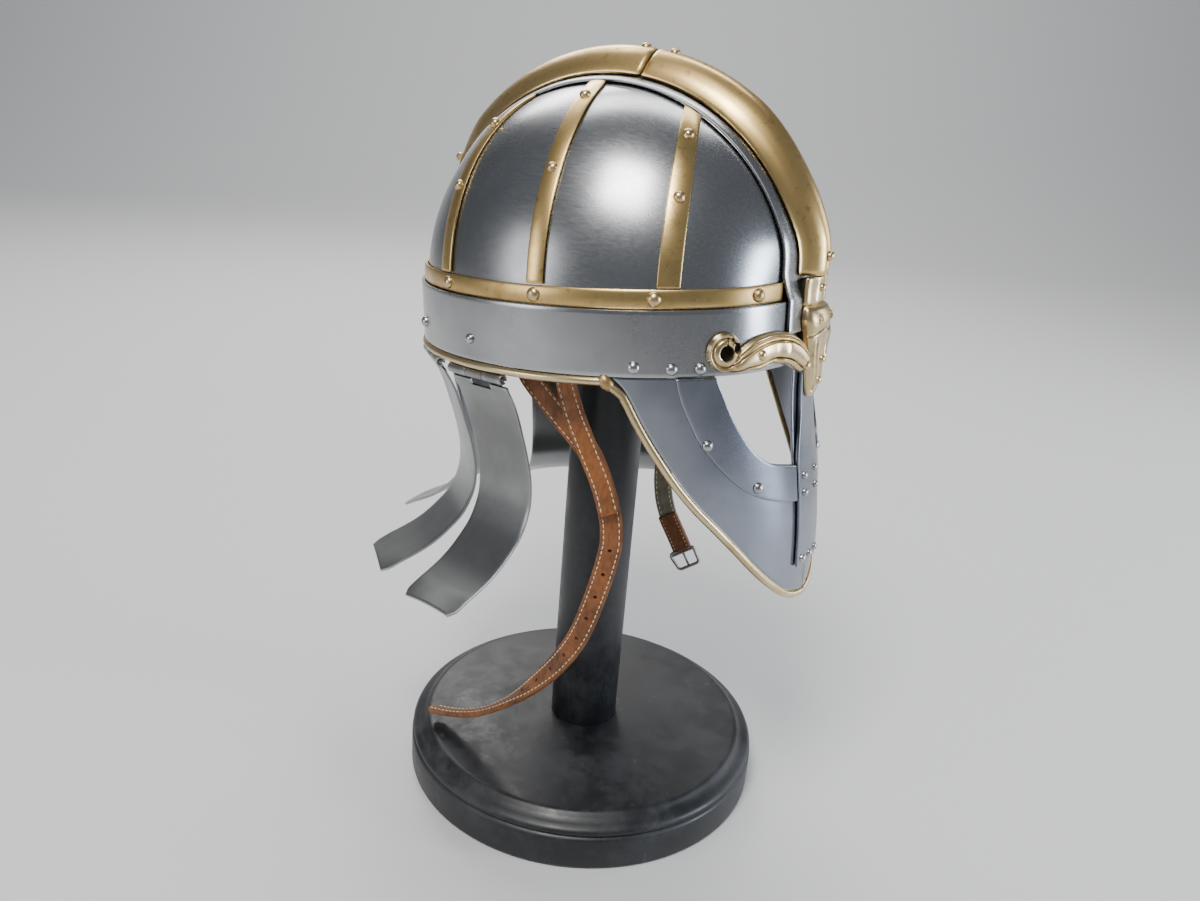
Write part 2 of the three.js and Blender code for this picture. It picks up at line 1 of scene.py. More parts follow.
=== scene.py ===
"""Look script for the norse iron helmet on its black wooden stand.

Every size is in millimetres in the helmet's own frame unless a docstring says otherwise,
and is turned into metres in the shared frame when a mesh is placed.
"""

import logging
import math
import random
from contextlib import contextmanager
from dataclasses import dataclass, field
from enum import Enum
from typing import Callable, Iterator, Sequence

import bpy
from mathutils import Matrix, Vector

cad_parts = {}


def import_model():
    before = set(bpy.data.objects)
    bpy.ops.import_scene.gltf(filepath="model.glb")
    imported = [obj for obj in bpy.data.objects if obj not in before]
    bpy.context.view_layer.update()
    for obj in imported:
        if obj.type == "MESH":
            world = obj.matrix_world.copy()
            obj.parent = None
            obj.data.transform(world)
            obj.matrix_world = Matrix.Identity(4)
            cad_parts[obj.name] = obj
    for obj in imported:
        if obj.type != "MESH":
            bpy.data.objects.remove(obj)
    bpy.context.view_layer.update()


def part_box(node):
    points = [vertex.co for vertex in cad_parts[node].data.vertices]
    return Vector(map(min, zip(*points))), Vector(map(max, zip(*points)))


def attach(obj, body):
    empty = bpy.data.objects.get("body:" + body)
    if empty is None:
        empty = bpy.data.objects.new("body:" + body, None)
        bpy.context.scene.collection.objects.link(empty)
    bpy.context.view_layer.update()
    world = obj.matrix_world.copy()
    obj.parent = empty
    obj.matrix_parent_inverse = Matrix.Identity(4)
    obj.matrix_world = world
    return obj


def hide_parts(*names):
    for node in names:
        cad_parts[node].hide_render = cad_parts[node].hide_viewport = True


LOG = logging.getLogger("helmet")
MM = 0.001
ROOT = "helmet_and_stand"
MERGE_GAP = 1e-4

Piece = bpy.types.Object
Finish = bpy.types.Material
ShaderNode = bpy.types.Node
Pair = tuple[float, float]
Triple = tuple[float, float, float]
Colour = tuple[float, float, float]
Place = Callable[[float, float], Vector]
Seat = tuple[Vector, Vector]


class Side(Enum):
    """Which side of the wearer a piece sits on; the value is the sign of X."""

    RIGHT = -1
    LEFT = 1

    @property
    def word(self) -> str:
        """The side's name as the CAD nodes spell it."""
        return self.name.lower()


# ---------------------------------------------------------------------------
# The helmet's own frame and the surfaces that its sheets lie on
# ---------------------------------------------------------------------------


@dataclass(frozen=True)
class HelmetForm:
    """Sizes of the brow wall and the bowl, and the frame they stand in."""

    tilt_deg: float = -5.03
    seat: Triple = (0.0, -1.92, 288.29)
    band_length: float = 118.0
    band_width: float = 98.4
    bowl_length: float = 114.0
    bowl_width: float = 94.4
    bowl_height: float = 110.5
    bowl_centre: float = 30.0
    brow_setback: float = 4.0
    chin_advance: float = 2.4

    def lean(self, p: Vector) -> Vector:
        """Sets the flat of the brow back and leans the face guards forward towards the chin."""
        if p.z > 0:
            depth = self.brow_setback * (1 - smoothstep(35, 65, p.z))
        else:
            depth = self.brow_setback - (self.brow_setback + self.chin_advance) * smoothstep(10, 100, -p.z)
        share = (1 - smoothstep(18, 62, abs(p.x))) * smoothstep(50, 70, -p.y)
        return Vector((p.x, p.y + depth * share, p.z))

    def frame(self) -> Matrix:
        """Matrix from helmet millimetres to row metres."""
        turn = Matrix.Rotation(math.radians(self.tilt_deg), 4, "X")
        return Matrix.Scale(MM, 4) @ Matrix.Translation(self.seat) @ turn

    def wall(self, t: float, z: float, off: float = 0.0) -> Vector:
        """Point on the brow wall.

        Args:
            t: Eccentric angle in radians, 0 at the front, positive to the wearer's left.
            z: Height above the rim plane.
            off: Distance outside the wall.

        Returns:
            The point in helmet millimetres.
        """
        p = Vector((self.band_width * math.sin(t), -self.band_length * math.cos(t), z))
        return p + self.wall_normal(t) * off

    def wall_normal(self, t: float) -> Vector:
        """Outward normal of the brow wall at eccentric angle t."""
        return Vector((math.sin(t) / self.band_width, -math.cos(t) / self.band_length, 0)).normalized()

    def front(self, x: float, z: float, off: float = 0.0) -> Vector:
        """Point on the front half of the wall at lateral place x."""
        return self.wall(math.asin(max(-1.0, min(1.0, x / self.band_width))), z, off)

    def bowl(self, t: float, z: float) -> Vector:
        """Point on the bowl at eccentric angle t from the front and height z."""
        s = math.sqrt(1 - ((z - self.bowl_centre) / self.bowl_height) ** 2)
        return Vector((self.bowl_width * s * math.sin(t), -self.bowl_length * s * math.cos(t), z))

    def crown_angle(self, z: float, over: float = 0.0) -> float:
        """Angle over the crown at which the middle line, lifted by over, passes height z at the front."""
        return math.asin((z - self.bowl_centre) / (self.bowl_height + over))

    def bowl_normal(self, p: Vector) -> Vector:
        """Outward normal of the bowl through point p."""
        return Vector(
            (
                p.x / self.bowl_width**2,
                p.y / self.bowl_length**2,
                (p.z - self.bowl_centre) / self.bowl_height**2,
            )
        ).normalized()

    def lift(self, p: Vector, off: float) -> Vector:
        """Point p of the bowl, moved out by off."""
        return p + self.bowl_normal(p) * off

    def crown(self, x: float, v: float, off: float = 0.0) -> Vector:
        """Bowl point at lateral place x and angle v over the crown.

        Args:
            x: Distance from the middle plane.
            v: Angle from the front horizon over the crown to the back, in radians.
            off: Distance outside the bowl.

        Returns:
            The point in helmet millimetres.
        """
        s = math.sqrt(1 - (x / self.bowl_width) ** 2)
        y = -self.bowl_length * s * math.cos(v)
        z = self.bowl_centre + self.bowl_height * s * math.sin(v)
        return self.lift(Vector((x, y, z)), off)


FORM = HelmetForm()
TO_ROW = FORM.frame()
STAND_FRAME = Matrix.Scale(MM, 4)
INSIDE_BOWL = Vector((0, 0, 20))
BEHIND_FACE = Vector((0, 0, -40))


def mix(a: float, b: float, f: float) -> float:
    """Value between a and b at share f."""
    return a + (b - a) * f


def smoothstep(a: float, b: float, v: float) -> float:
    """0 below a, 1 above b, and a smooth rise between them."""
    f = max(0.0, min(1.0, (v - a) / (b - a)))
    return f * f * (3 - 2 * f)


class Line:
    """A smooth line through control points, read by its share of length."""

    def __init__(self, points: Sequence[Sequence[float]], fine: int = 12) -> None:
        """Takes the control points.

        Args:
            points: Control points, each a sequence of the same number of values.
            fine: Samples between two control points.
        """
        pts = [list(map(float, p)) for p in points]
        rows: list[list[float]] = []
        for i in range(len(pts) - 1):
            p0, p1 = pts[max(0, i - 1)], pts[i]
            p2, p3 = pts[i + 1], pts[min(len(pts) - 1, i + 2)]
            for k in range(fine):
                f = k / fine
                rows.append(
                    [
                        0.5
                        * (
                            2 * b
                            + (c - a) * f
                            + (2 * a - 5 * b + 4 * c - d) * f * f
                            + (3 * b - a - 3 * c + d) * f**3
                        )
                        for a, b, c, d in zip(p0, p1, p2, p3)
                    ]
                )
        rows.append(pts[-1])
        self.rows = rows
        self.span = [0.0]
        for a, b in zip(rows, rows[1:]):
            self.span.append(self.span[-1] + math.dist(a[:3], b[:3]))

    @property
    def length(self) -> float:
        """Length of the line over its first three values."""
        return self.span[-1]

    def at(self, share: float) -> list[float]:
        """Values at a share of the length.

        Args:
            share: 0 at the first point and 1 at the last.

        Returns:
            The interpolated values.
        """
        s = max(0.0, min(1.0, share)) * self.length
        lo, hi = 0, len(self.span) - 1
        while hi - lo > 1:
            m = (lo + hi) // 2
            if self.span[m] <= s:
                lo = m
            else:
                hi = m
        f = (s - self.span[lo]) / max(1e-9, self.span[hi] - self.span[lo])
        return [mix(a, b, f) for a, b in zip(self.rows[lo], self.rows[hi])]


# ---------------------------------------------------------------------------
# Workbench: short steps of modelling shared by every sub-assembly
# ---------------------------------------------------------------------------


def clear_selection() -> None:
    """Leaves edit mode and deselects everything."""
    if bpy.context.object and bpy.context.object.mode != "OBJECT":
        bpy.ops.object.mode_set(mode="OBJECT")
    bpy.ops.object.select_all(action="DESELECT")


def take_up(piece: Piece) -> None:
    """Makes piece the one selected and active object."""
    clear_selection()
    piece.select_set(True)
    bpy.context.view_layer.objects.active = piece


@contextmanager
def edit_mode(action: str = "SELECT") -> Iterator[None]:
    """Edit mode on the active piece, entered with everything selected, or with nothing for DESELECT."""
    bpy.ops.object.mode_set(mode="EDIT")
    bpy.ops.mesh.select_all(action=action)
    yield
    bpy.ops.object.mode_set(mode="OBJECT")


def settle(piece: Piece, frame: Matrix) -> None:
    """Puts a piece modelled in millimetres into the shared frame, its object left at the origin."""
    if frame is TO_ROW:
        for vertex in piece.data.vertices:
            vertex.co = FORM.lean(vertex.co)
    piece.data.transform(frame @ piece.matrix_world)
    piece.matrix_world = Matrix.Identity(4)
    piece.data.update()


def face_outwards(piece: Piece) -> None:
    """Recalculates the normals of a closed piece, after its doubles are merged."""
    take_up(piece)
    with edit_mode():
        bpy.ops.mesh.remove_doubles(threshold=MERGE_GAP)
        bpy.ops.mesh.normals_make_consistent(inside=False)


def spread_grid(name: str, cols: int, rows: int, place: Place,
                away_from: Vector | None = None) -> Piece:
    """Adds a grid and lays it over a surface.

    Args:
        name: Name of the piece.
        cols: Faces along the first direction.
        rows: Faces along the second direction.
        place: Gives the point for two shares from 0 to 1.
        away_from: A point that the faces must point away from.

    Returns:
        The sheet, still without thickness.
    """
    clear_selection()
    bpy.ops.mesh.primitive_grid_add(x_subdivisions=cols, y_subdivisions=rows, size=1, calc_uvs=True)
    piece = bpy.context.object
    piece.name = name
    for vertex in piece.data.vertices:
        vertex.co = place(vertex.co.x + 0.5, vertex.co.y + 0.5)
    piece.data.update()
    with edit_mode():
        bpy.ops.mesh.remove_doubles(threshold=MERGE_GAP)
    if away_from is not None:
        facing = sum((p.center - away_from).dot(p.normal) * p.area for p in piece.data.polygons)
        if facing < 0:
            with edit_mode():
                bpy.ops.mesh.flip_normals()
    return piece


def close_ends(piece: Piece) -> None:
    """Fills the open ends of a skin rolled up from a grid, and faces it outwards."""
    take_up(piece)
    with edit_mode("DESELECT"):
        bpy.ops.mesh.select_non_manifold(extend=False)
        bpy.ops.mesh.fill_holes(sides=0)
    face_outwards(piece)


def apply_modifier(piece: Piece, kind: str, **values: object) -> None:
    """Adds a modifier with these values and applies it."""
    take_up(piece)
    modifier = piece.modifiers.new(kind.title(), kind)
    for key, value in values.items():
        setattr(modifier, key, value)
    bpy.ops.object.modifier_apply(modifier=modifier.name)


def thicken(piece: Piece, thickness: float) -> None:
    """Gives a sheet its thickness, inwards from its outer face."""
    apply_modifier(piece, "SOLIDIFY", thickness=thickness, offset=-1.0, use_even_offset=True)


def ease_edges(piece: Piece, width: float, segments: int = 2, angle_deg: float = 40.0) -> None:
    """Rounds the sharp edges of a piece."""
    apply_modifier(
        piece, "BEVEL", width=width, segments=segments, limit_method="ANGLE",
        angle_limit=math.radians(angle_deg), harden_normals=False,
    )


def smooth(piece: Piece, angle_deg: float = 35.0) -> None:
    """Shades a piece smooth up to an angle."""
    take_up(piece)
    bpy.ops.object.shade_smooth_by_angle(angle=math.radians(angle_deg))


def make_sheet(piece: Piece, thickness: float, edge: float, segments: int = 2) -> None:
    """Makes a surface of the helmet into sheet with eased edges, and places and shades it."""
    thicken(piece, thickness)
    ease_edges(piece, edge, segments)
    settle(piece, TO_ROW)
    smooth(piece)


def turn_up(name: str, profile: Sequence[Pair], facets: int = 128) -> Piece:
    """Turns a solid by drawing a disc up through a profile of (radius, height).

    Args:
        name: Name of the piece.
        profile: Radii and heights from the lowest disc to the highest.
        facets: Vertices round each ring.

    Returns:
        The turned piece.
    """
    clear_selection()
    radius, height = profile[0]
    bpy.ops.mesh.primitive_circle_add(
        vertices=facets, radius=radius, fill_type="NGON", location=(0, 0, height),
    )
    piece = bpy.context.object
    piece.name = name
    with edit_mode():
        for new_radius, new_height in profile[1:]:
            bpy.ops.mesh.extrude_region_move(TRANSFORM_OT_translate={"value": (0, 0, new_height - height)})
            share = new_radius / radius
            bpy.ops.transform.resize(value=(share, share, 1), center_override=(0, 0, new_height))
            radius, height = new_radius, new_height
    settle(piece, Matrix.Identity(4))
    face_outwards(piece)
    return piece


def tube_along(name: str, points: Sequence[Vector], radius: float, facets: int,
               cyclic: bool = False) -> Piece:
    """Draws a round bar along points.

    Args:
        name: Name of the piece.
        points: Points of the centre line.
        radius: Radius of the bar.
        facets: Bevel resolution of the bar.
        cyclic: Whether the line closes on itself.

    Returns:
        The bar as a mesh with rounded ends.
    """
    clear_selection()
    bpy.ops.curve.primitive_nurbs_path_add()
    piece = bpy.context.object
    piece.name = name
    curve = piece.data
    curve.splines.clear()
    spline = curve.splines.new("POLY")
    spline.points.add(len(points) - 1)
    for handle, p in zip(spline.points, points):
        handle.co = (*p, 1)
    spline.use_cyclic_u = cyclic
    curve.dimensions = "3D"
    curve.bevel_depth = radius
    curve.bevel_resolution = facets
    curve.use_fill_caps = not cyclic
    bpy.ops.object.convert(target="MESH")
    face_outwards(piece)
    return piece


def join_all(name: str, pieces: Sequence[Piece]) -> Piece:
    """Joins pieces into one object."""
    clear_selection()
    for piece in pieces:
        piece.select_set(True)
    bpy.context.view_layer.objects.active = pieces[0]
    if len(pieces) > 1:
        bpy.ops.object.join()
    joined = bpy.context.view_layer.objects.active
    joined.name = name
    return joined


def seat_matrix(point: Vector, normal: Vector, along: Vector | None = None) -> Matrix:
    """Matrix that stands a piece on a point with its Z along the normal.

    Args:
        point: Where the piece's origin goes.
        normal: Direction of its Z axis.
        along: Direction its X axis leans towards.

    Returns:
        The placing matrix.
    """
    z = normal.normalized()
    guide = along if along is not None else Vector((0, 0, 1))
    if abs(guide.normalized().dot(z)) > 0.95:
        guide = Vector((1, 0, 0))
    x = (guide - z * guide.dot(z)).normalized()
    y = z.cross(x)
    return Matrix.Translation(point) @ Matrix((x, y, z)).transposed().to_4x4()


# ---------------------------------------------------------------------------
# Finishes
# ---------------------------------------------------------------------------


class Nodes:
    """A small writer for one material's node tree."""

    FIRST_COLOUR = 6
    SECOND_COLOUR = 7
    MIXED_COLOUR = 2

    def __init__(self, name: str) -> None:
        """Starts an empty material with its shader and output."""
        self.material = bpy.data.materials.new(name)
        self.material.use_nodes = True
        self.tree = self.material.node_tree
        self.tree.nodes.clear()
        out = self.add("ShaderNodeOutputMaterial")
        self.shader = self.add("ShaderNodeBsdfPrincipled")
        self.link(self.shader, "BSDF", out, "Surface")
        self.coords = self.add("ShaderNodeTexCoord")

    def add(self, kind: str, **values: object) -> ShaderNode:
        """Adds a node and sets its properties or sockets by name."""
        node = self.tree.nodes.new(kind)
        for key, value in values.items():
            if hasattr(node, key):
                setattr(node, key, value)
            else:
                node.inputs[key.replace("_", " ")].default_value = value
        return node

    def link(self, a: ShaderNode, out: str | int, b: ShaderNode, socket: str | int) -> None:
        """Links an output to an input."""
        self.tree.links.new(a.outputs[out], b.inputs[socket])

    def scaled(self, scale: Triple, turn: Triple = (0, 0, 0)) -> ShaderNode:
        """Object coordinates in their own scale and turn."""
        mapping = self.add("ShaderNodeMapping")
        mapping.inputs["Scale"].default_value = scale
        mapping.inputs["Rotation"].default_value = turn
        self.link(self.coords, "Object", mapping, "Vector")
        return mapping

    def noise(self, scale: float, detail: float, roughness: float, stretch: Triple = (1, 1, 1),
              turn: Triple = (0, 0, 0)) -> ShaderNode:
        """A noise field over stretched object coordinates."""
        field_node = self.add("ShaderNodeTexNoise", Scale=scale, Detail=detail, Roughness=roughness)
        self.link(self.scaled(stretch, turn), "Vector", field_node, "Vector")
        return field_node

    def ramp(self, source: ShaderNode, stops: Sequence[tuple[float, Colour]]) -> ShaderNode:
        """A colour ramp fed by a value."""
        node = self.add("ShaderNodeValToRGB")
        elements = node.color_ramp.elements
        while len(elements) < len(stops):
            elements.new(0.5)
        for element, (place, colour) in zip(elements, stops):
            element.position = place
            element.color = (*colour, 1)
        self.link(source, "Fac", node, "Fac")
        return node

    def blend(self, a: ShaderNode, b: ShaderNode, kind: str, amount: float) -> ShaderNode:
        """Mixes an amount of colour b into colour a."""
        node = self.add("ShaderNodeMix", data_type="RGBA", blend_type=kind)
        node.inputs["Factor"].default_value = amount
        self.link(a, self.colour_out(a), node, self.FIRST_COLOUR)
        self.link(b, self.colour_out(b), node, self.SECOND_COLOUR)
        return node

    @staticmethod
    def colour_out(node: ShaderNode) -> int:
        """Index of a node's colour output."""
        return Nodes.MIXED_COLOUR if node.bl_idname == "ShaderNodeMix" else 0

    def range_of(self, source: ShaderNode, out: str, low: float, high: float,
                 start: float = 0.0, end: float = 1.0) -> ShaderNode:
        """Maps a value from start..end to low..high."""
        node = self.add("ShaderNodeMapRange")
        for key, value in (("From Min", start), ("From Max", end), ("To Min", low), ("To Max", high)):
            node.inputs[key].default_value = value
        self.link(source, out, node, "Value")
        return node

    def edges(self, start: float, end: float, under: ShaderNode, colour: Sequence[float],
              amount: float = 0.85) -> ShaderNode:
        """Lays a colour over edges or into hollows.

        Args:
            start: Pointiness where the colour begins.
            end: Pointiness where it is full; under start for hollows.
            under: Colour beneath.
            colour: The colour laid on.
            amount: Share of it where it is full.

        Returns:
            The mixed colour.
        """
        geometry = self.add("ShaderNodeNewGeometry")
        share = self.range_of(geometry, "Pointiness", 0.0, amount, start, end)
        node = self.add("ShaderNodeMix", data_type="RGBA")
        self.link(share, "Result", node, "Factor")
        self.link(under, self.colour_out(under), node, self.FIRST_COLOUR)
        node.inputs[self.SECOND_COLOUR].default_value = (*colour, 1)
        return node

    def bump(self, source: ShaderNode, out: str, strength: float, depth: float,
             under: ShaderNode | None = None) -> ShaderNode:
        """A bump of some depth in metres, over another bump if one is given."""
        node = self.add("ShaderNodeBump", Strength=strength, Distance=depth)
        self.link(source, out, node, "Height")
        if under is not None:
            self.link(under, "Normal", node, "Normal")
        return node

    def close(self, colour: ShaderNode, relief: ShaderNode, roughness: ShaderNode | float,
              metallic: float = 0.0) -> Finish:
        """Leads the last nodes to the shader.

        Args:
            colour: Node that gives the colour.
            relief: Topmost bump.
            roughness: Node that gives the roughness, or its one value.
            metallic: 1 for bare metal.

        Returns:
            The finished material.
        """
        self.link(colour, self.colour_out(colour), self.shader, "Base Color")
        self.shader.inputs["Metallic"].default_value = metallic
        if isinstance(roughness, float):
            self.shader.inputs["Roughness"].default_value = roughness
        else:
            self.link(roughness, 0, self.shader, "Roughness")
        self.link(relief, "Normal", self.shader, "Normal")
        return self.material


@dataclass(frozen=True)
class SheetSteel:
    """Polished iron sheet: soft hammering, fine brushed scratches, faint clouds, bright worn edges."""

    name: str = "polished_iron"
    colour: Colour = (0.42, 0.425, 0.435)
    cloud: Colour = (0.26, 0.265, 0.275)
    roughness: Pair = (0.20, 0.33)
    hammer_depth: float = 0.00022
    wear: float = 0.85

    def make(self) -> Finish:
        """Builds the material."""
        n = Nodes(self.name)
        clouds = n.noise(11, 4, 0.55)
        stains = n.noise(75, 6, 0.7)
        base = n.ramp(clouds, [(0.36, self.cloud), (0.62, self.colour)])
        warm = n.ramp(stains, [(0.62, (1, 1, 1)), (0.8, (0.84, 0.80, 0.74))])
        tint = n.blend(base, warm, "MULTIPLY", 0.6)
        worn = n.edges(0.52, 0.60, tint, (0.60, 0.61, 0.62), self.wear)
        brush = n.noise(160, 3, 0.6, (1, 1, 12))
        scratch = n.noise(900, 3, 0.6, (1, 0.12, 1), (0.5, 0.3, 0.8))
        rough = n.range_of(clouds, "Fac", self.roughness[1], self.roughness[0], 0.3, 0.7)
        fine = n.range_of(scratch, "Fac", -0.02, 0.03, 0.3, 0.7)
        total = n.add("ShaderNodeMath", operation="ADD")
        n.link(rough, "Result", total, 0)
        n.link(fine, "Result", total, 1)
        hammer = n.noise(30, 1.5, 0.45)
        low = n.bump(hammer, "Fac", 0.5, self.hammer_depth)
        mid = n.bump(brush, "Fac", 0.12, 0.00002, low)
        top = n.bump(scratch, "Fac", 0.05, 0.000008, mid)
        return n.close(worn, top, total, metallic=1.0)


@dataclass(frozen=True)
class WornBrass:
    """Golden brass with brown patina in patches and hollows, soft waves and fine pitting."""

    name: str = "worn_brass"
    bright: Colour = (0.80, 0.60, 0.30)
    dull: Colour = (0.47, 0.32, 0.14)
    hollow: Colour = (0.10, 0.062, 0.028)
    roughness: Pair = (0.22, 0.42)
    waves: float = 0.0001
    wear: float = 0.85

    def make(self) -> Finish:
        """Builds the material."""
        n = Nodes(self.name)
        clouds = n.noise(24, 6, 0.62)
        spots = n.noise(190, 6, 0.7)
        base = n.ramp(clouds, [(0.3, self.dull), (0.56, self.bright)])
        dark = n.ramp(spots, [(0.30, (0.55, 0.43, 0.28)), (0.42, (1, 1, 1))])
        tint = n.blend(base, dark, "MULTIPLY", 0.8)
        worn = n.edges(0.52, 0.58, tint, tuple(min(1.0, c * 1.12) for c in self.bright), self.wear)
        sunk = n.edges(0.488, 0.45, worn, self.hollow)
        rough = n.range_of(clouds, "Fac", self.roughness[1], self.roughness[0], 0.3, 0.7)
        wave = n.noise(55, 3, 0.5)
        low = n.bump(wave, "Fac", 0.5, self.waves)
        top = n.bump(spots, "Fac", 0.25, 0.00004, low)
        return n.close(sunk, top, rough, metallic=1.0)


@dataclass(frozen=True)
class DullIron:
    """Dark brown-grey iron for hinges, pins and the buckle."""

    name: str = "dull_iron"
    colour: Colour = (0.20, 0.185, 0.17)
    light: Colour = (0.38, 0.36, 0.33)

    def make(self) -> Finish:
        """Builds the material."""
        n = Nodes(self.name)
        clouds = n.noise(90, 6, 0.7)
        base = n.ramp(clouds, [(0.38, self.colour), (0.68, self.light)])
        rough = n.range_of(clouds, "Fac", 0.55, 0.34, 0.3, 0.7)
        return n.close(base, n.bump(clouds, "Fac", 0.3, 0.0001), rough, metallic=1.0)


@dataclass(frozen=True)
class TanLeather:
    """Tan vegetable leather: fine pores, creases and darker rubbed patches."""

    name: str = "tan_leather"
    light: Colour = (0.235, 0.080, 0.018)
    dark: Colour = (0.075, 0.025, 0.007)

    def make(self) -> Finish:
        """Builds the material."""
        n = Nodes(self.name)
        clouds = n.noise(48, 7, 0.68)
        fibres = n.noise(520, 5, 0.7, (1, 1, 0.35))
        base = n.ramp(clouds, [(0.32, self.dark), (0.58, self.light)])
        grain = n.ramp(fibres, [(0.34, (0.62, 0.5, 0.4)), (0.52, (1, 1, 1))])
        tint = n.blend(base, grain, "MULTIPLY", 0.75)
        rough = n.range_of(fibres, "Fac", 0.75, 0.5, 0.3, 0.7)
        pores = n.add("ShaderNodeTexVoronoi", Scale=900)
        n.link(n.scaled((1, 1, 1)), "Vector", pores, "Vector")
        low = n.bump(fibres, "Fac", 0.5, 0.00016)
        top = n.bump(pores, "Distance", 0.35, 0.0001, low)
        return n.close(tint, top, rough)


@dataclass(frozen=True)
class WaxedThread:
    """Off-white waxed thread with a fine twist."""

    name: str = "waxed_thread"
    colour: Colour = (0.78, 0.66, 0.47)

    def make(self) -> Finish:
        """Builds the material."""
        n = Nodes(self.name)
        fuzz = n.noise(900, 4, 0.6)
        base = n.ramp(fuzz, [(0.3, tuple(c * 0.6 for c in self.colour)), (0.6, self.colour)])
        return n.close(base, n.bump(fuzz, "Fac", 0.4, 0.00008), 0.72)


@dataclass(frozen=True)
class PaintedWood:
    """Black satin paint over turned wood, scuffed grey and dusty."""

    name: str = "black_painted_wood"
    colour: Colour = (0.007, 0.008, 0.010)
    scuff: Colour = (0.038, 0.041, 0.045)

    def make(self) -> Finish:
        """Builds the material."""
        n = Nodes(self.name)
        dust = n.noise(34, 9, 0.78)
        streaks = n.noise(60, 8, 0.75, (1, 1, 0.3), (0.2, 0.1, 0.6))
        base = n.ramp(dust, [(0.46, self.colour), (0.78, self.scuff)])
        marks = n.ramp(streaks, [(0.62, (0, 0, 0)), (0.74, (0.05, 0.05, 0.055))])
        total = n.blend(base, marks, "ADD", 1.0)
        rough = n.range_of(dust, "Fac", 0.34, 0.62, 0.35, 0.7)
        grain = n.noise(260, 6, 0.65)
        low = n.bump(grain, "Fac", 0.3, 0.00008)
        top = n.bump(streaks, "Fac", 0.2, 0.00008, low)
        return n.close(total, top, rough)


@dataclass
class Finishes:
    """Every finish of the object, made once."""

    steel: Finish = field(init=False)
    face_steel: Finish = field(init=False)
    brass: Finish = field(init=False)
    cast_brass: Finish = field(init=False)
    stained: Finish = field(init=False)
    rivet_steel: Finish = field(init=False)
    rivet_brass: Finish = field(init=False)
    plate_steel: Finish = field(init=False)
    # near-black finish of painted shade for the discs in the eyebrow holes
    soot: Finish = field(init=False)
    iron: Finish = field(init=False)
    leather: Finish = field(init=False)
    flesh_side: Finish = field(init=False)
    thread: Finish = field(init=False)
    wood: Finish = field(init=False)

    def __post_init__(self) -> None:
        """Makes the materials."""
        self.steel = SheetSteel().make()
        self.face_steel = SheetSteel(
            "face_iron", (0.31, 0.33, 0.375), (0.17, 0.185, 0.22), (0.17, 0.28), 0.0005,
        ).make()
        self.rivet_steel = SheetSteel(
            "rivet_iron", (0.50, 0.50, 0.51), (0.36, 0.36, 0.37), (0.22, 0.3), 0.0001, 0,
        ).make()
        self.brass = WornBrass(bright=(0.70, 0.49, 0.20), dull=(0.38, 0.24, 0.09)).make()
        self.cast_brass = WornBrass(
            "cast_brass", (0.68, 0.54, 0.31), (0.40, 0.28, 0.13), roughness=(0.22, 0.38), waves=0.00016,
        ).make()
        self.rivet_brass = WornBrass("rivet_brass", (0.66, 0.50, 0.27), (0.42, 0.29, 0.14), wear=0.0).make()
        self.stained = WornBrass(
            "brazed_brass", (0.50, 0.34, 0.16), (0.26, 0.16, 0.08), roughness=(0.3, 0.5),
        ).make()
        self.plate_steel = SheetSteel(
            "plate_iron", (0.33, 0.335, 0.335), (0.19, 0.192, 0.192), (0.28, 0.42), 0.0002,
        ).make()
        # Painted shade: a near-black, low-specular finish for the discs that stand for the shadow inside the
        # eyebrow holes.
        self.soot = PaintedWood("soot", (0.01, 0.009, 0.008), (0.02, 0.018, 0.015)).make()
        self.soot.node_tree.nodes["Principled BSDF"].inputs["Specular IOR Level"].default_value = 0.08
        self.iron = DullIron().make()
        self.leather = TanLeather().make()
        self.flesh_side = TanLeather("leather_flesh_side", (0.26, 0.235, 0.165), (0.15, 0.13, 0.09)).make()
        self.thread = WaxedThread().make()
        self.wood = PaintedWood().make()


class Slot(Enum):
    """Material slots of the record."""

    STEEL = "steel"
    DARK = "dark_steel"
    BRASS = "brass"
    LEATHER = "leather"
    WOOD = "black_wood"


def dress(piece: Piece, material: Finish, slot: Slot, body: str = ROOT,
          replaced: Sequence[str] = ()) -> None:
    """Gives a finished piece its material and body, and hides the CAD nodes it stands for.

    Args:
        piece: The piece, already in the shared frame.
        material: Its finish.
        slot: The record's slot it belongs to; not used.
        body: The body it rides on.
        replaced: CAD nodes it stands for.
    """
    piece.data.materials.clear()
    piece.data.materials.append(material)
    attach(piece, body)
    if replaced:
        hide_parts(*replaced)
    LOG.info("%s: %d faces", piece.name, len(piece.data.polygons))


# ---------------------------------------------------------------------------
# Rivets
# ---------------------------------------------------------------------------


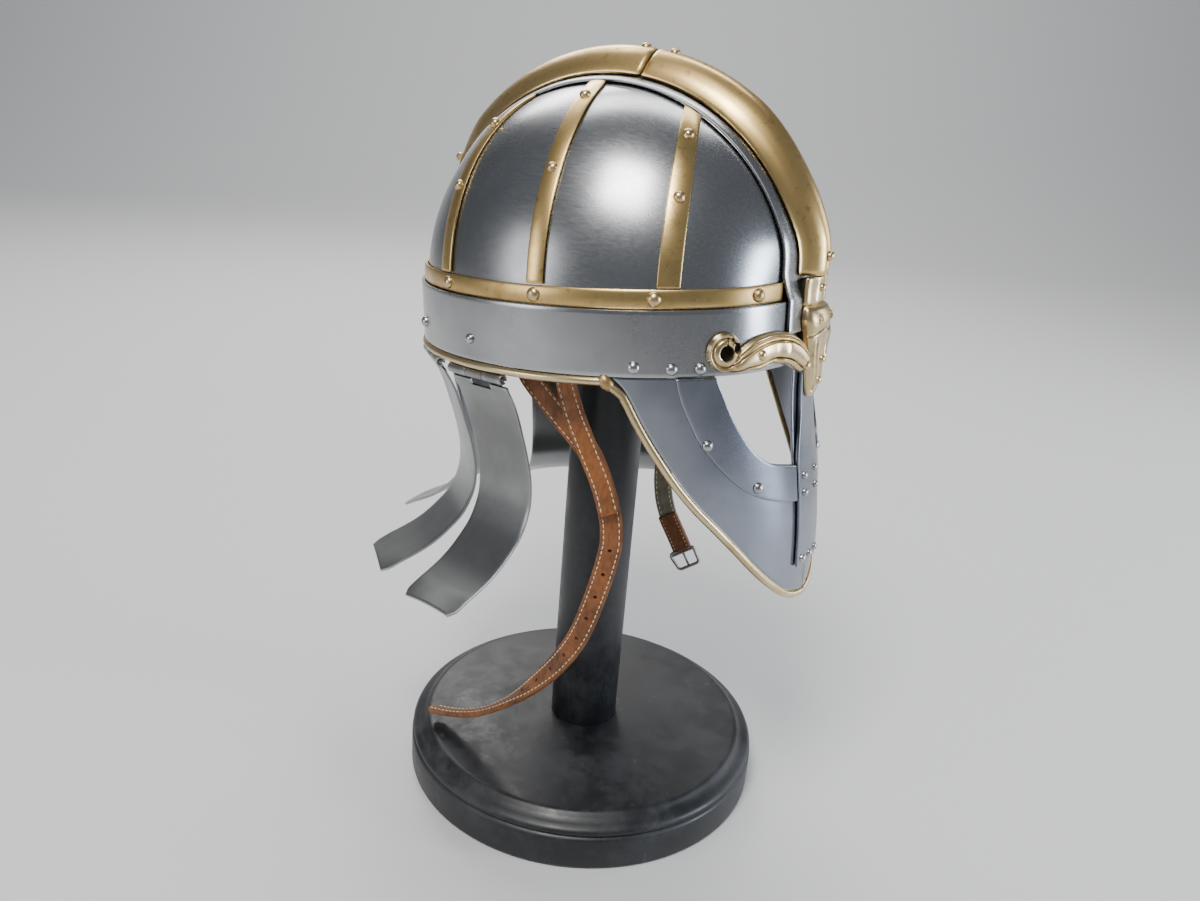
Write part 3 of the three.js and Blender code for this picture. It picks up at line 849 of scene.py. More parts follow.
@dataclass
class RivetTool:
    """Domed rivet heads, modelled once and copied to their seats."""

    radius: float
    height: float
    seed: int = 7
    skirt: float = 0.25

    def head(self) -> Piece:
        """Models one domed head standing on Z, with a short skirt below it."""
        clear_selection()
        bpy.ops.mesh.primitive_uv_sphere_add(segments=20, ring_count=12, radius=self.radius)
        piece = bpy.context.object
        with edit_mode():
            bpy.ops.mesh.bisect(plane_co=(0, 0, 0.1), plane_no=(0, 0, 1), use_fill=True, clear_inner=True)
        for vertex in piece.data.vertices:
            vertex.co.z = vertex.co.z * self.height / self.radius if vertex.co.z > 0.2 else -self.skirt
        return piece

    def set_at(self, name: str, seats: Sequence[Seat]) -> Piece:
        """Copies the head to each seat.

        Args:
            name: Name of the joined set.
            seats: Point and outward normal of each rivet.

        Returns:
            All the rivets as one piece.
        """
        rng = random.Random(f"{self.seed}{name}")
        head = self.head()
        copies = []
        for point, normal in seats:
            copy = head.copy()
            copy.data = head.data.copy()
            bpy.context.collection.objects.link(copy)
            jitter = Vector((rng.uniform(-1, 1), rng.uniform(-1, 1), rng.uniform(-1, 1))) * 0.05
            scale = rng.uniform(0.94, 1.06)
            across, up = rng.uniform(0.96, 1.04), rng.uniform(0.9, 1.1)
            shape = Matrix.Diagonal((scale * across, scale, scale * up, 1))
            copy.data.transform(seat_matrix(point, normal + jitter, Vector((0.3, 0.2, 1))) @ shape)
            copies.append(copy)
        bpy.data.objects.remove(head)
        piece = join_all(name, copies)
        settle(piece, TO_ROW)
        smooth(piece, 50)
        return piece


def wall_seat(deg: float, z: float) -> Seat:
    """A rivet seat on the brow wall at an angle in degrees from the front."""
    t = math.radians(deg)
    return FORM.wall(t, z), FORM.wall_normal(t)


def face_seat(x: float, z: float, off: float) -> Seat:
    """A rivet seat on the front of the wall at lateral place x, off millimetres outside it."""
    t = math.asin(x / FORM.band_width)
    return FORM.wall(t, z, off), FORM.wall_normal(t)


# ---------------------------------------------------------------------------
# Bowl, brow band, straps and ribs
# ---------------------------------------------------------------------------


@dataclass(frozen=True)
class Rib:
    """One rib's course over the bowl: where its foot and top stand lengthwise, and its rivets' heights."""

    name: str
    low: float
    high: float
    bend: float
    rivets: Pair

    def along(self, f: float) -> float:
        """Place along the helmet at share f of the way up."""
        return mix(self.low, self.high, f**self.bend)


@dataclass
class Bowl:
    """The two bowl halves, the brow hoop, the brass hoop, the central strap and the ribs."""

    finishes: Finishes
    sheet: float = 1.8
    band_sheet: float = 2.0
    band_top: float = 32.7
    brass_low: float = 33.0
    brass_high: float = 42.0
    strap_half: float = 24.0
    strap_low: float = 16.5
    rib_half: float = 4.7
    cut_height: float = 23.0
    half_gap: float = 0.15
    ribs: tuple[Rib, ...] = (
        Rib("front", -69.5, -56.0, 2.4, (84.0, 112.4)),
        Rib("middle", -7.2, -2.0, 4.0, (96.6, 130.8)),
        Rib("rear", 57.0, 41.0, 3.5, (86.3, 117.0)),
    )
    brass_rivets: tuple[float, ...] = (25.9, 55.7, 86.3, 117.3, 180.0)

    def build(self) -> None:
        """Builds and dresses every piece."""
        for side in Side:
            self.half(side)
        self.brow_band()
        self.brass_band()
        self.central_strap()
        for side in Side:
            for rib in self.ribs:
                self.rib(side, rib)
        self.rivets()

    def half(self, side: Side) -> None:
        """One half of the bowl: a ball cut at the rim and at the middle plane."""
        clear_selection()
        bpy.ops.mesh.primitive_uv_sphere_add(segments=144, ring_count=96, radius=1)
        piece = bpy.context.object
        piece.name = f"bowl_{side.word}_iron"
        piece.data.transform(
            Matrix.Translation((0, 0, FORM.bowl_centre))
            @ Matrix.Diagonal((FORM.bowl_width, FORM.bowl_length, FORM.bowl_height, 1))
        )
        cuts = (
            ((0, 0, self.cut_height), (0, 0, 1)),
            ((self.half_gap * side.value, 0, 0), (side.value, 0, 0)),
        )
        for point, normal in cuts:
            with edit_mode():
                bpy.ops.mesh.bisect(plane_co=point, plane_no=normal, clear_inner=True)
        thicken(piece, self.sheet)
        settle(piece, TO_ROW)
        smooth(piece)
        dress(piece, self.finishes.steel, Slot.STEEL, replaced=[f"bowl_{side.word}"])

    def brow_band(self) -> None:
        """The steel hoop round the brow."""
        piece = spread_grid(
            "brow_band_iron", 220, 14,
            lambda u, v: FORM.wall(2 * math.pi * u, self.band_top * v),
            INSIDE_BOWL,
        )
        make_sheet(piece, self.band_sheet, 0.5)
        dress(piece, self.finishes.steel, Slot.STEEL, replaced=["brow_band"])

    def brass_band(self) -> None:
        """The brass hoop on the joint of bowl and brow band, open at the front."""
        gap = math.asin((self.strap_half + 1.4) / FORM.band_width)

        def place(u: float, v: float) -> Vector:
            """Point of the hoop's outer face, slightly crowned across its width."""
            p = FORM.bowl(mix(gap, 2 * math.pi - gap, u), mix(self.brass_low, self.brass_high, v))
            return FORM.lift(p, 2.0 + 0.4 * (1 - (2 * v - 1) ** 2))

        piece = spread_grid("brass_band_sheet", 220, 6, place, INSIDE_BOWL)
        make_sheet(piece, 1.6, 0.45)
        dress(piece, self.finishes.brass, Slot.BRASS, replaced=["brass_band"])

    def strap_point(self, x: float, v: float, off: float) -> Vector:
        """Point of the central strap.

        Args:
            x: Distance from the middle plane.
            v: Share of the way from the brow over the crown to the nape.
            off: Distance outside the strap's underside.

        Returns:
            The point in helmet millimetres.
        """
        bend_low, bend_high, turn = 33.0, 46.0, 0.085
        start = FORM.crown_angle(bend_high)
        end = math.pi - FORM.crown_angle(46.5)
        if v >= turn:
            return FORM.crown(x, mix(start, end, (v - turn) / (1 - turn)), off + 0.4)
        z = mix(self.strap_low, bend_high, v / turn)
        if z <= bend_low:
            return FORM.front(x, z, off + 0.2)
        g = (z - bend_low) / (bend_high - bend_low)
        edge = FORM.front(x, bend_low, off + 0.2)
        return edge.lerp(FORM.crown(x, start, off + 0.4), (smoothstep(0, 1, g) + g) / 2)

    def central_strap(self) -> None:
        """The steel strap from the nape to the brow."""
        piece = spread_grid(
            "central_strap_iron", 12, 170,
            lambda u, v: self.strap_point(mix(-self.strap_half, self.strap_half, u), v, 2.2),
            INSIDE_BOWL,
        )
        make_sheet(piece, self.sheet, 0.5)
        dress(piece, self.finishes.steel, Slot.STEEL, replaced=["central_strap"])

    def rib_point(self, side: Side, rib: Rib, f: float, u: float, off: float) -> Vector:
        """Point of a rib.

        Args:
            side: Side of the bowl.
            rib: The rib's course.
            f: Share of the way up the rib.
            u: Distance across the rib from its middle.
            off: Distance outside the bowl.

        Returns:
            The point in helmet millimetres.
        """
        y = rib.along(f) + u
        s = math.sqrt(1 - (y / FORM.bowl_length) ** 2)
        start = math.asin((self.brass_high + 0.6 - FORM.bowl_centre) / (FORM.bowl_height * s))
        end = math.acos((self.strap_half + 1.1) / (FORM.bowl_width * s))
        v = mix(start, end, f)
        x = side.value * FORM.bowl_width * s * math.cos(v)
        return FORM.lift(Vector((x, y, FORM.bowl_centre + FORM.bowl_height * s * math.sin(v))), off)

    def rib(self, side: Side, rib: Rib) -> None:
        """One brass rib, crowned across its width."""

        def place(u: float, v: float) -> Vector:
            """Point of the rib's outer face."""
            across = mix(-self.rib_half, self.rib_half, u)
            crown = 0.5 * (1 - (2 * u - 1) ** 2)
            return self.rib_point(side, rib, v, across, 1.55 + crown)

        piece = spread_grid(f"rib_{rib.name}_{side.word}_sheet", 10, 70, place, INSIDE_BOWL)
        make_sheet(piece, 1.2, 0.4)
        dress(piece, self.finishes.brass, Slot.BRASS, replaced=[f"rib_{rib.name}_{side.word}"])

    def rivets(self) -> None:
        """Rivets on the brass hoop and ribs, and the small iron ones on the brow band."""
        seats: list[Seat] = []
        for deg in self.brass_rivets:
            for sign in (-1, 1) if deg < 180 else (1,):
                p = FORM.bowl(math.radians(deg * sign), (self.brass_low + self.brass_high) / 2)
                seats.append((FORM.lift(p, 2.35), FORM.bowl_normal(p)))
        tool = RivetTool(3.4, 2.5)
        dress(tool.set_at("brass_band_rivets", seats), self.finishes.rivet_brass, Slot.BRASS)
        rib_seats: list[Seat] = []
        for side in Side:
            for rib in self.ribs:
                for height in rib.rivets:
                    shares = [i / 200 for i in range(201)]
                    f = min(shares, key=lambda g: abs(self.rib_point(side, rib, g, 0, 2.0).z - height))
                    p = self.rib_point(side, rib, f, 0, 2.0)
                    rib_seats.append((p, FORM.bowl_normal(p)))
        dress(RivetTool(3.0, 2.3, 11).set_at("rib_rivets", rib_seats), self.finishes.rivet_brass, Slot.BRASS)
        pairs = ((60.7, 5.0), (51.3, 4.2), (43.9, 4.2), (106.7, 11.0), (136.0, 11.0))
        brow = [wall_seat(sign * deg, z) for deg, z in pairs for sign in (-1, 1)] + [wall_seat(180, 11.0)]
        rivets = RivetTool(3.0, 2.3, 3).set_at("brow_band_rivets", brow)
        dress(rivets, self.finishes.rivet_steel, Slot.STEEL)


# ---------------------------------------------------------------------------
# Crest, beast head and eyebrows
# ---------------------------------------------------------------------------


@dataclass
class Crest:
    """The folded brass crest in two lengths, its terminal at the nape and its rivets."""

    finishes: Finishes
    half: float = 17.0
    height: float = 13.9
    seat: float = 3.1
    joint: float = -21.0
    face_share: float = 0.8

    @property
    def section(self) -> Line:
        """Half of the cross-section from the foot to the ridge: distance from the middle and height."""
        return Line([
            (self.half, 0.9, 0), (15.6, 1.5, 0), (13.2, 3.7, 0), (10.4, 7.0, 0), (7.2, 10.4, 0),
            (3.8, 12.9, 0), (0, self.height, 0),
        ])

    @staticmethod
    def ridge_rise(v: float) -> float:
        """Share of the full height at angle v over the crown: lowest over the brow."""
        return 0.73 + 0.18 * smoothstep(0.5, 0.9, v) + 0.09 * smoothstep(1.3, 2.0, v)

    def build(self) -> None:
        """Builds and dresses the crest."""
        joint = math.acos(-self.joint / FORM.bowl_length)
        front = FORM.crown_angle(44.5, 3)
        back = math.pi - FORM.crown_angle(88, 3)
        tail = math.pi - FORM.crown_angle(64, 3)
        self.length("crest_front_sheet", front, joint - 0.004, "crest_front", (0.82, 0.3), (1.0, 0.05))
        self.length("crest_back_sheet", joint + 0.004, back, "crest_back", (1.0, 0.03), (0.62, 0.24))
        self.length("crest_tail_sheet", back + 0.005, tail, "crest_tail", (0.5, 0.05), (0.2, 0.9), 0.42)
        self.rivets()

    def length(self, name: str, start: float, end: float, node: str, first: Pair, last: Pair,
               rise: float = 1.0) -> None:
        """One length of the crest, closed at both ends.

        Args:
            name: Name of the piece.
            start: Angle over the crown where it starts.
            end: Angle where it ends.
            node: CAD node it replaces.
            first: Width share at the start, and the share of the length over which it grows to full.
            last: Width share at the end, and the share of the length over which it tapers.
            rise: Height share of the whole length.
        """
        section = self.section

        def place(u: float, v: float) -> Vector:
            """Point of the closed skin: the outside over the first share of u, then the underside."""
            if rise < 1:
                width = mix(first[0], last[0], v)
            else:
                width = mix(first[0], 1, smoothstep(0, first[1], v))
                width *= mix(last[0], 1, smoothstep(0, last[1], 1 - v))
            close = min(smoothstep(-0.012, 0.012, v), smoothstep(-0.012, 0.012, 1 - v))
            round_off = 1 - 0.2 * (1 - close)
            if u < self.face_share:
                w = u / self.face_share * 2 - 1
                x, h = section.at(1 - abs(w))[:2]
                x = math.copysign(x, w)
            else:
                w = 1 - (u - self.face_share) / (1 - self.face_share) * 2
                x, h = self.half * w, 0.0
            v2 = mix(start, end, v)
            if node == "crest_front":
                v2 -= 0.016 * h / self.height * (1 - v) ** 8
            tall = h * width**0.5 * rise * round_off if rise == 1 else h * rise * mix(1, 0.45, v)
            tall *= self.ridge_rise(v2)
            return FORM.crown(x * width * round_off, v2, self.seat + 0.15 + tall)

        piece = spread_grid(name, 80, 120 if rise == 1 else 30, place)
        close_ends(piece)
        ease_edges(piece, 0.6, 3, 50)
        settle(piece, TO_ROW)
        smooth(piece, 40)
        dress(piece, self.finishes.brass, Slot.BRASS, replaced=[node])

    def rivets(self) -> None:
        """Brass rivets along the ridge and on the tail."""
        seats: list[Seat] = []
        for y, z in ((-16.6, 155.9), (-33.6, 152.0), (-124.0, 53.0), (117.0, 101.6)):
            angle = math.atan2((z - FORM.bowl_centre) / FORM.bowl_height, -y / FORM.bowl_length)
            p = FORM.crown(0, angle, self.seat + self.height * self.ridge_rise(angle) - 0.45)
            seats.append((p, FORM.bowl_normal(p)))
        p = FORM.crown(0, math.pi - FORM.crown_angle(80, 3), self.seat + 5.2)
        seats.append((p, FORM.bowl_normal(p)))
        rivets = RivetTool(2.8, 2.2, 5).set_at("crest_rivets", seats)
        nodes = ["crest_rivet_front", "crest_rivet_back"]
        dress(rivets, self.finishes.rivet_brass, Slot.BRASS, replaced=nodes)


@dataclass
class BeastHead:
    """A cast brass beast's head that looks down the nose: neck, scroll eyes, muzzle and snout."""

    finishes: Finishes
    rings: tuple[Triple, ...] = (
        (43.4, 13.0, 4.6), (42.8, 13.6, 5.8), (38, 13.7, 6.0), (30.6, 13.5, 5.9), (29.4, 12.4, 5.2),
        (28.6, 12.6, 6.4), (27.0, 13.4, 8.4), (23, 14.2, 10.0), (19, 13.6, 10.1), (16.2, 12.6, 9.6),
        (10, 11.0, 8.9), (4, 10.2, 8.5), (-3, 9.4, 8.2), (-9, 8.4, 7.6), (-14, 7.4, 6.6),
        (-17.6, 6.0, 5.6), (-19.4, 4.2, 4.4), (-20.0, 2.2, 3.3),
    )
    face_share: float = 0.78
    foot: float = 2.9

    def build(self) -> None:
        """Builds and dresses the head and its trims."""
        profile = Line(self.rings, 10)

        def place(u: float, v: float) -> Vector:
            """Point of the casting's skin."""
            z, half, reach = profile.at(v)
            if u < self.face_share:
                a = u / self.face_share * math.pi
                x = -math.cos(a) * half
                bulge = math.sin(a) ** 0.62
                off = mix(self.foot, reach, bulge)
                seam = 4.6 + 1.1 * math.sin((z + 2) * 0.16)
                muzzle = smoothstep(14, 9, z) * smoothstep(-18, -13, z)
                off -= 2.2 * muzzle * math.exp(-((abs(x) - seam) / 0.7) ** 2)
                off += 0.5 * muzzle * math.exp(-((abs(x) - seam - 1.9) / 1.0) ** 2)
                off -= 0.9 * math.exp(-((z - 29.4) / 0.6) ** 2) * bulge
                off -= 1.3 * math.exp(-((z - (17.6 - 0.33 * abs(x))) / 0.55) ** 2) * bulge
                off -= 0.9 * smoothstep(30, 32, z) * math.exp(-((abs(x) - 5.0) / 0.6) ** 2)
            else:
                w = 1 - (u - self.face_share) / (1 - self.face_share)
                x = mix(-half, half, w)
                off = self.foot - 0.05
            return FORM.front(x, z, off)

        piece = spread_grid("beast_head_casting", 72, 150, place)
        close_ends(piece)
        ease_edges(piece, 0.5, 2, 55)
        settle(piece, TO_ROW)
        smooth(piece, 50)
        dress(piece, self.finishes.cast_brass, Slot.BRASS, replaced=["beast_head"])
        self.eyes()
        seats = [face_seat(0, z, off) for z, off in ((37.4, 5.9), (0.5, 8.2), (-10.8, 7.2))]
        rivets = RivetTool(2.3, 2.0, 9).set_at("beast_head_rivets", seats)
        dress(rivets, self.finishes.rivet_brass, Slot.BRASS)

    def eyes(self) -> None:
        """A ring and a ball for each eye, low on the scroll."""
        parts = []
        for side in Side:
            point, outwards = face_seat(7.8 * side.value, 22.8, 9.3)
            normal = (outwards + Vector((side.value * 0.85, 0, 0))).normalized()
            clear_selection()
            bpy.ops.mesh.primitive_torus_add(
                major_radius=2.0, minor_radius=0.5, major_segments=28, minor_segments=10,
            )
            ring = bpy.context.object
            ring.data.transform(seat_matrix(point, normal))
            parts.append(ring)
            clear_selection()
            bpy.ops.mesh.primitive_uv_sphere_add(segments=18, ring_count=12, radius=1.25)
            ball = bpy.context.object
            ball.data.transform(seat_matrix(point - normal * 0.3, normal) @ Matrix.Diagonal((1, 1, 0.8, 1)))
            parts.append(ball)
        piece = join_all("beast_head_eyes", parts)
        settle(piece, TO_ROW)
        smooth(piece, 60)
        dress(piece, self.finishes.cast_brass, Slot.BRASS)


@dataclass
class Eyebrow:
    """One cast eyebrow: a pierced disc at the temple and a ribbed S that runs to the beast's snout."""

    finishes: Finishes
    side: Side
    line: tuple[Triple, ...] = (
        (58.6, 4.4, 2.6), (56.4, 4.9, 3.7), (54.0, 5.8, 4.5), (51.2, 7.4, 6.1), (45.1, 9.5, 8.3),
        (38.3, 11.2, 8.1), (29.8, 10.9, 7.9), (21.6, 7.9, 7.4), (14.4, 2.7, 6.7), (10.2, -1.0, 5.2),
    )
    disc: Triple = (60.2, 12.0, 9.9)
    holes: tuple[Triple, ...] = ((0.0, 0.1, 3.7), (6.5, 2.2, 2.5))
    cracks: tuple[tuple[float, float, float, float], ...] = ((0.1, 3.0, 1.0, 7.2), (5.4, 3.8, 3.4, 7.0))
    relief: float = 4.3
    foreshorten: float = 0.66
    face_share: float = 0.86
    rim_share: float = 0.06

    def point(self, x: float, z: float, off: float) -> Vector:
        """Point on this side of the brow wall."""
        return FORM.front(self.side.value * x, z, off)

    def build(self) -> None:
        """Builds and dresses the eyebrow."""
        piece = join_all(f"eyebrow_{self.side.word}_casting", [self.bar(), self.pierced_disc()])
        settle(piece, TO_ROW)
        smooth(piece, 42)
        dress(piece, self.finishes.cast_brass, Slot.BRASS, replaced=[f"eyebrow_{self.side.word}"])
        # Dark discs of painted shade in the disc's holes.
        self.hole_floors()
        places = ((44.6, 9.5, 4.2), (12.6, -0.6, 6.1))
        seats = [face_seat(self.side.value * x, z, off) for x, z, off in places]
        rivets = RivetTool(2.7, 2.0, 21).set_at(f"eyebrow_{self.side.word}_rivets", seats)
        dress(rivets, self.finishes.rivet_brass, Slot.BRASS)

    def strands(self, e: float, v: float) -> float:
        """Height across the bar as a share of its relief.

        Args:
            e: Place across, 1 at the upper edge and -1 at the lower one.
            v: Share of the way from the disc to the snout.

        Returns:
            The height share, with a groove between each two strands.
        """
        body = max(0.0, 1 - abs(e) ** 3.4) ** 0.5
        leaf = mix(0.40, 0.56, v)
        grooves = (
            math.exp(-(((e - leaf) / 0.06) ** 2)) * 0.34
            + math.exp(-(((e - mix(leaf, 1, 0.5)) / 0.05) ** 2)) * 0.28
            + math.exp(-(((e + 0.60) / 0.06) ** 2)) * 0.36
        )
        dome = 0.10 * math.cos(max(-1.57, min(1.57, (e + 0.1) * 3.0)))
        return max(0.0, body * (0.93 + dome) - grooves * body)

    def bar(self) -> Piece:
        """The ribbed S."""
        path = Line([(x, z, 0.0, half) for x, z, half in self.line], 10)
        step = 0.004

        def place(u: float, v: float) -> Vector:
            """Point of the bar's skin."""
            x, z, _, half = path.at(v)
            xa, za = path.at(v - step)[:2]
            xb, zb = path.at(v + step)[:2]
            length = math.hypot(xb - xa, zb - za)
            nx, nz = -(zb - za) / length, (xb - xa) / length
            lifted = 0.4 + 2.3 * smoothstep(36, 27, x)
            if u < self.face_share:
                w = u / self.face_share * 2 - 1
                ends = min(1.0, (v / 0.04) ** 0.5, ((1 - v) / 0.05) ** 0.5)
                off = lifted + self.relief * self.strands(-w, v) * max(0.1, ends)
            else:
                w = 1 - (u - self.face_share) / (1 - self.face_share) * 2
                off = lifted
            return self.point(x + nx * w * half, z + nz * w * half, off)

        bar = spread_grid("bar", 100, 150, place)
        close_ends(bar)
        return bar

    def disc_height(self, px: float, pz: float) -> float:
        """Height of the disc's face.

        Args:
            px: Distance from its centre towards the nose.
            pz: Distance up.

        Returns:
            The height over the disc's foot.
        """
        r = math.hypot(px, pz)
        edge = self.disc[2] - r
        height = 3.3 * smoothstep(-0.6, 1.3, edge) - 0.9 * math.exp(-(((edge - 2.7) / 0.55) ** 2))
        height += 0.5 * smoothstep(2.8, 4.4, edge)
        for ax, az, bx, bz in self.cracks:
            share = ((px - ax) * (bx - ax) + (pz - az) * (bz - az)) / ((bx - ax) ** 2 + (bz - az) ** 2)
            share = max(0.0, min(1.0, share))
            gap = math.hypot(px - mix(ax, bx, share), pz - mix(az, bz, share))
            height -= 1.5 * smoothstep(0.75, 0.25, gap)
        for hx, hz, radius in self.holes:
            gap = math.hypot(px - hx, pz - hz) - radius
            height += 0.35 * math.exp(-(((gap - 0.8) / 0.6) ** 2))
            height = mix(height, 0.35, smoothstep(0.22, -0.22, gap))
        return max(0.3, height)

    def pierced_disc(self) -> Piece:
        """The disc at the temple end: a rolled rim, a groove, two deep holes and cracks over them."""
        x, z, radius = self.disc

        def place(u: float, v: float) -> Vector:
            """Point of the skin: up the rim, then in to the middle."""
            a = 2 * math.pi * u
            r = radius * (1 - max(0.0, v - self.rim_share) / (1 - self.rim_share) * 0.995)
            px, pz = r * math.cos(a), r * math.sin(a)
            off = 0.45 + self.disc_height(px, pz) * min(1.0, v / self.rim_share)
            return self.point(x - px * self.foreshorten, z + pz, off)

        piece = spread_grid("disc", 150, 110, place)
        close_ends(piece)
        return piece

    def hole_floors(self) -> None:
        """Dark discs in the disc's holes: painted shade standing for the shadow inside the holes."""
        x, z, _ = self.disc
        normal = face_seat(self.side.value * x, z, 0)[1]
        parts = []
        for hx, hz, radius in self.holes:
            # Each disc is painted shade: a near-black floor set where the hole shows only shadow.
            part = turn_up("floor", [(radius - 0.2, 0.0), (radius - 0.2, 0.4), (radius - 0.6, 0.5)], 32)
            part.data.transform(seat_matrix(self.point(x - hx * self.foreshorten, z + hz, 0.75), normal))
            parts.append(part)
        piece = join_all(f"eyebrow_{self.side.word}_hole_floors", parts)
        settle(piece, TO_ROW)
        smooth(piece)
        dress(piece, self.finishes.soot, Slot.DARK)


# ---------------------------------------------------------------------------
# Face guards
# ---------------------------------------------------------------------------


@dataclass
class FaceGuards:
    """The two face guards, their eye rings, the nasal strap and the brass edging."""

    finishes: Finishes
    outer: tuple[Triple, ...] = (
        (89.7, -48.3, -0.3), (87.9, -52.9, -5), (86.3, -56.5, -11), (84.2, -61, -20.9), (81.8, -65.5, -30.1),
        (79.3, -69.8, -38.3), (73.4, -78.4, -54.2), (66.7, -86.7, -67.6), (58.7, -94.6, -79.7),
        (49.2, -102.2, -93.2), (40.4, -107.5, -105), (29.9, -112.4, -116.2), (16.4, -116.3, -126.1),
        (0.3, -118, -130.5),
    )
    eye: tuple[Triple, ...] = (
        (62.6, -90.9, -0.3), (62, -91.5, -3.5), (60.1, -93.3, -9.4), (56.6, -96.5, -19.9),
        (51.9, -100.3, -29.8), (46.7, -103.9, -38), (41, -107.2, -44.3), (34.7, -110.4, -48.8),
        (27.5, -113.2, -51.5), (19, -115.7, -53.6), (14.3, -116.7, -54.7),
    )
    ring: tuple[Triple, ...] = (
        (75.7, -75.3, -0.3), (74.2, -77.5, -10.9), (71, -81.7, -23.7), (67.5, -85.8, -34.2),
        (59.7, -93.7, -48.2), (50.6, -101.1, -59.2), (39.6, -107.9, -66.9), (25.8, -113.8, -71.9),
        (14.4, -116.7, -74.4),
    )
    nose_half: float = 13.5
    nose_top: float = -4.0
    nose_foot: float = -113.0
    guard_top: float = -0.3
    girth: float = 108.0
    tube: float = 2.2

    def flat(self, points: Sequence[Triple]) -> list[Triple]:
        """Outline points as (arc length from the middle, height, 0)."""
        return [
            (math.atan2(x / FORM.band_width, -y / FORM.band_length) * self.girth, z, 0.0)
            for x, y, z in points
        ]

    def on_wall(self, side: Side, s: float, z: float, off: float) -> Vector:
        """Point on the wall at an arc length from the middle."""
        return FORM.wall(side.value * s / self.girth, z, off)

    def build(self) -> None:
        """Builds and dresses both guards and what is riveted to them."""
        for side in Side:
            self.guard(side)
            self.eye_ring(side)
            self.edging(side)
        self.nasal_strap()
        self.rim()
        self.rivets()

    def strip(self, side: Side, name: str, outer: Sequence[Triple], off: float, across: int,
              along: int) -> Piece:
        """A sheet ruled on the wall from an outer outline to the eye opening.

        Args:
            side: Side of the face.
            name: Name of the piece.
            outer: Outline of its outer edge.
            off: Distance outside the wall.
            across: Faces from one outline to the other.
            along: Faces along the outlines.

        Returns:
            The sheet, still without thickness.
        """
        a, b = Line(self.flat(outer)), Line(self.flat(self.eye))

        def place(u: float, v: float) -> Vector:
            """Point between the outlines."""
            s0, z0 = a.at(v)[:2]
            s1, z1 = b.at(v)[:2]
            return self.on_wall(side, mix(s0, s1, u), mix(z0, z1, u), off)

        return spread_grid(name, across, along, place, BEHIND_FACE)

    def guard(self, side: Side) -> None:
        """One guard: the cheek and the strip beside the nose."""
        middle = 0.3 / FORM.band_width * self.girth
        inner_nose = 14.0 / FORM.band_width * self.girth
        cheek = self.strip(side, "cheek", self.outer, 0, 30, 150)
        nose = spread_grid(
            "nose_strip", 12, 40,
            lambda u, v: self.on_wall(side, mix(middle, inner_nose, u), self.nose_height(u, v), 0),
            BEHIND_FACE,
        )
        piece = join_all(f"face_guard_{side.word}_iron", [cheek, nose])
        take_up(piece)
        with edit_mode():
            bpy.ops.mesh.remove_doubles(threshold=0.02)
        make_sheet(piece, 1.8, 0.4)
        dress(piece, self.finishes.face_steel, Slot.STEEL, replaced=[f"face_guard_{side.word}"])

    def nose_height(self, u: float, v: float) -> float:
        """Height on the strip beside the nose, whose foot follows the cheek's last line."""
        foot = mix(self.outer[-1][2], self.eye[-1][2], u)
        return mix(foot, self.guard_top, v)

    def eye_ring(self, side: Side) -> None:
        """The riveted ring of sheet round the eye opening."""
        piece = self.strip(side, f"eye_ring_{side.word}_iron", self.ring, 1.95, 12, 120)
        make_sheet(piece, 1.5, 0.55, 3)
        dress(piece, self.finishes.face_steel, Slot.STEEL, replaced=[f"eye_ring_{side.word}"])

    def nose_width(self, z: float) -> float:
        """Half width of the nasal strap, least behind the snout."""
        return self.nose_half - 4 * (1 - smoothstep(25, 55, -z))

    def nasal_strap(self) -> None:
        """The steel bar down the nose, over the joint of the guards."""

        def place(u: float, v: float) -> Vector:
            """Point of the strap's outer face."""
            z = mix(self.nose_top, self.nose_foot, v)
            return FORM.front((2 * u - 1) * self.nose_width(z), z, 2.6)

        piece = spread_grid("nasal_strap_iron", 14, 60, place, BEHIND_FACE)
        make_sheet(piece, 2.2, 0.6, 3)
        dress(piece, self.finishes.face_steel, Slot.STEEL, replaced=["nasal_strap"])

    def edging(self, side: Side) -> None:
        """The brass tube round the guard's outer edge from the rim to the chin, and its brazed corner."""
        outline = self.flat(self.outer)
        corner = outline[0][0]
        line = Line(outline[1:])
        course = [(corner + 7.0, -2.5, 0.0), (corner + 4.6, -2.4, 0.0), (corner + 2.6, -3.4, 0.0)]
        count = 60
        for i in range(1, count + 1):
            v = i / count
            s, z = line.at(v)[:2]
            sa, za = line.at(v - 0.01)[:2]
            sb, zb = line.at(v + 0.01)[:2]
            length = math.hypot(sb - sa, zb - za)
            ns, nz = abs(zb - za) / length, abs(sb - sa) / length
            last = smoothstep(0.94, 1.0, v)
            out = mix(s + ns * 2.5, 0.4, last if s < 6 else 0)
            course.append((max(0.4, out), z - nz * 2.5, 0.0))
        smooth_course = Line(course, 4)
        points = [self.on_wall(side, *smooth_course.at(i / 150)[:2], -0.9) for i in range(151)]
        piece = tube_along(f"face_edging_{side.word}_tube", points, self.tube, 5)
        settle(piece, TO_ROW)
        smooth(piece, 60)
        dress(piece, self.finishes.cast_brass, Slot.BRASS, replaced=[f"face_edging_{side.word}"])
        self.brazing(side, corner)

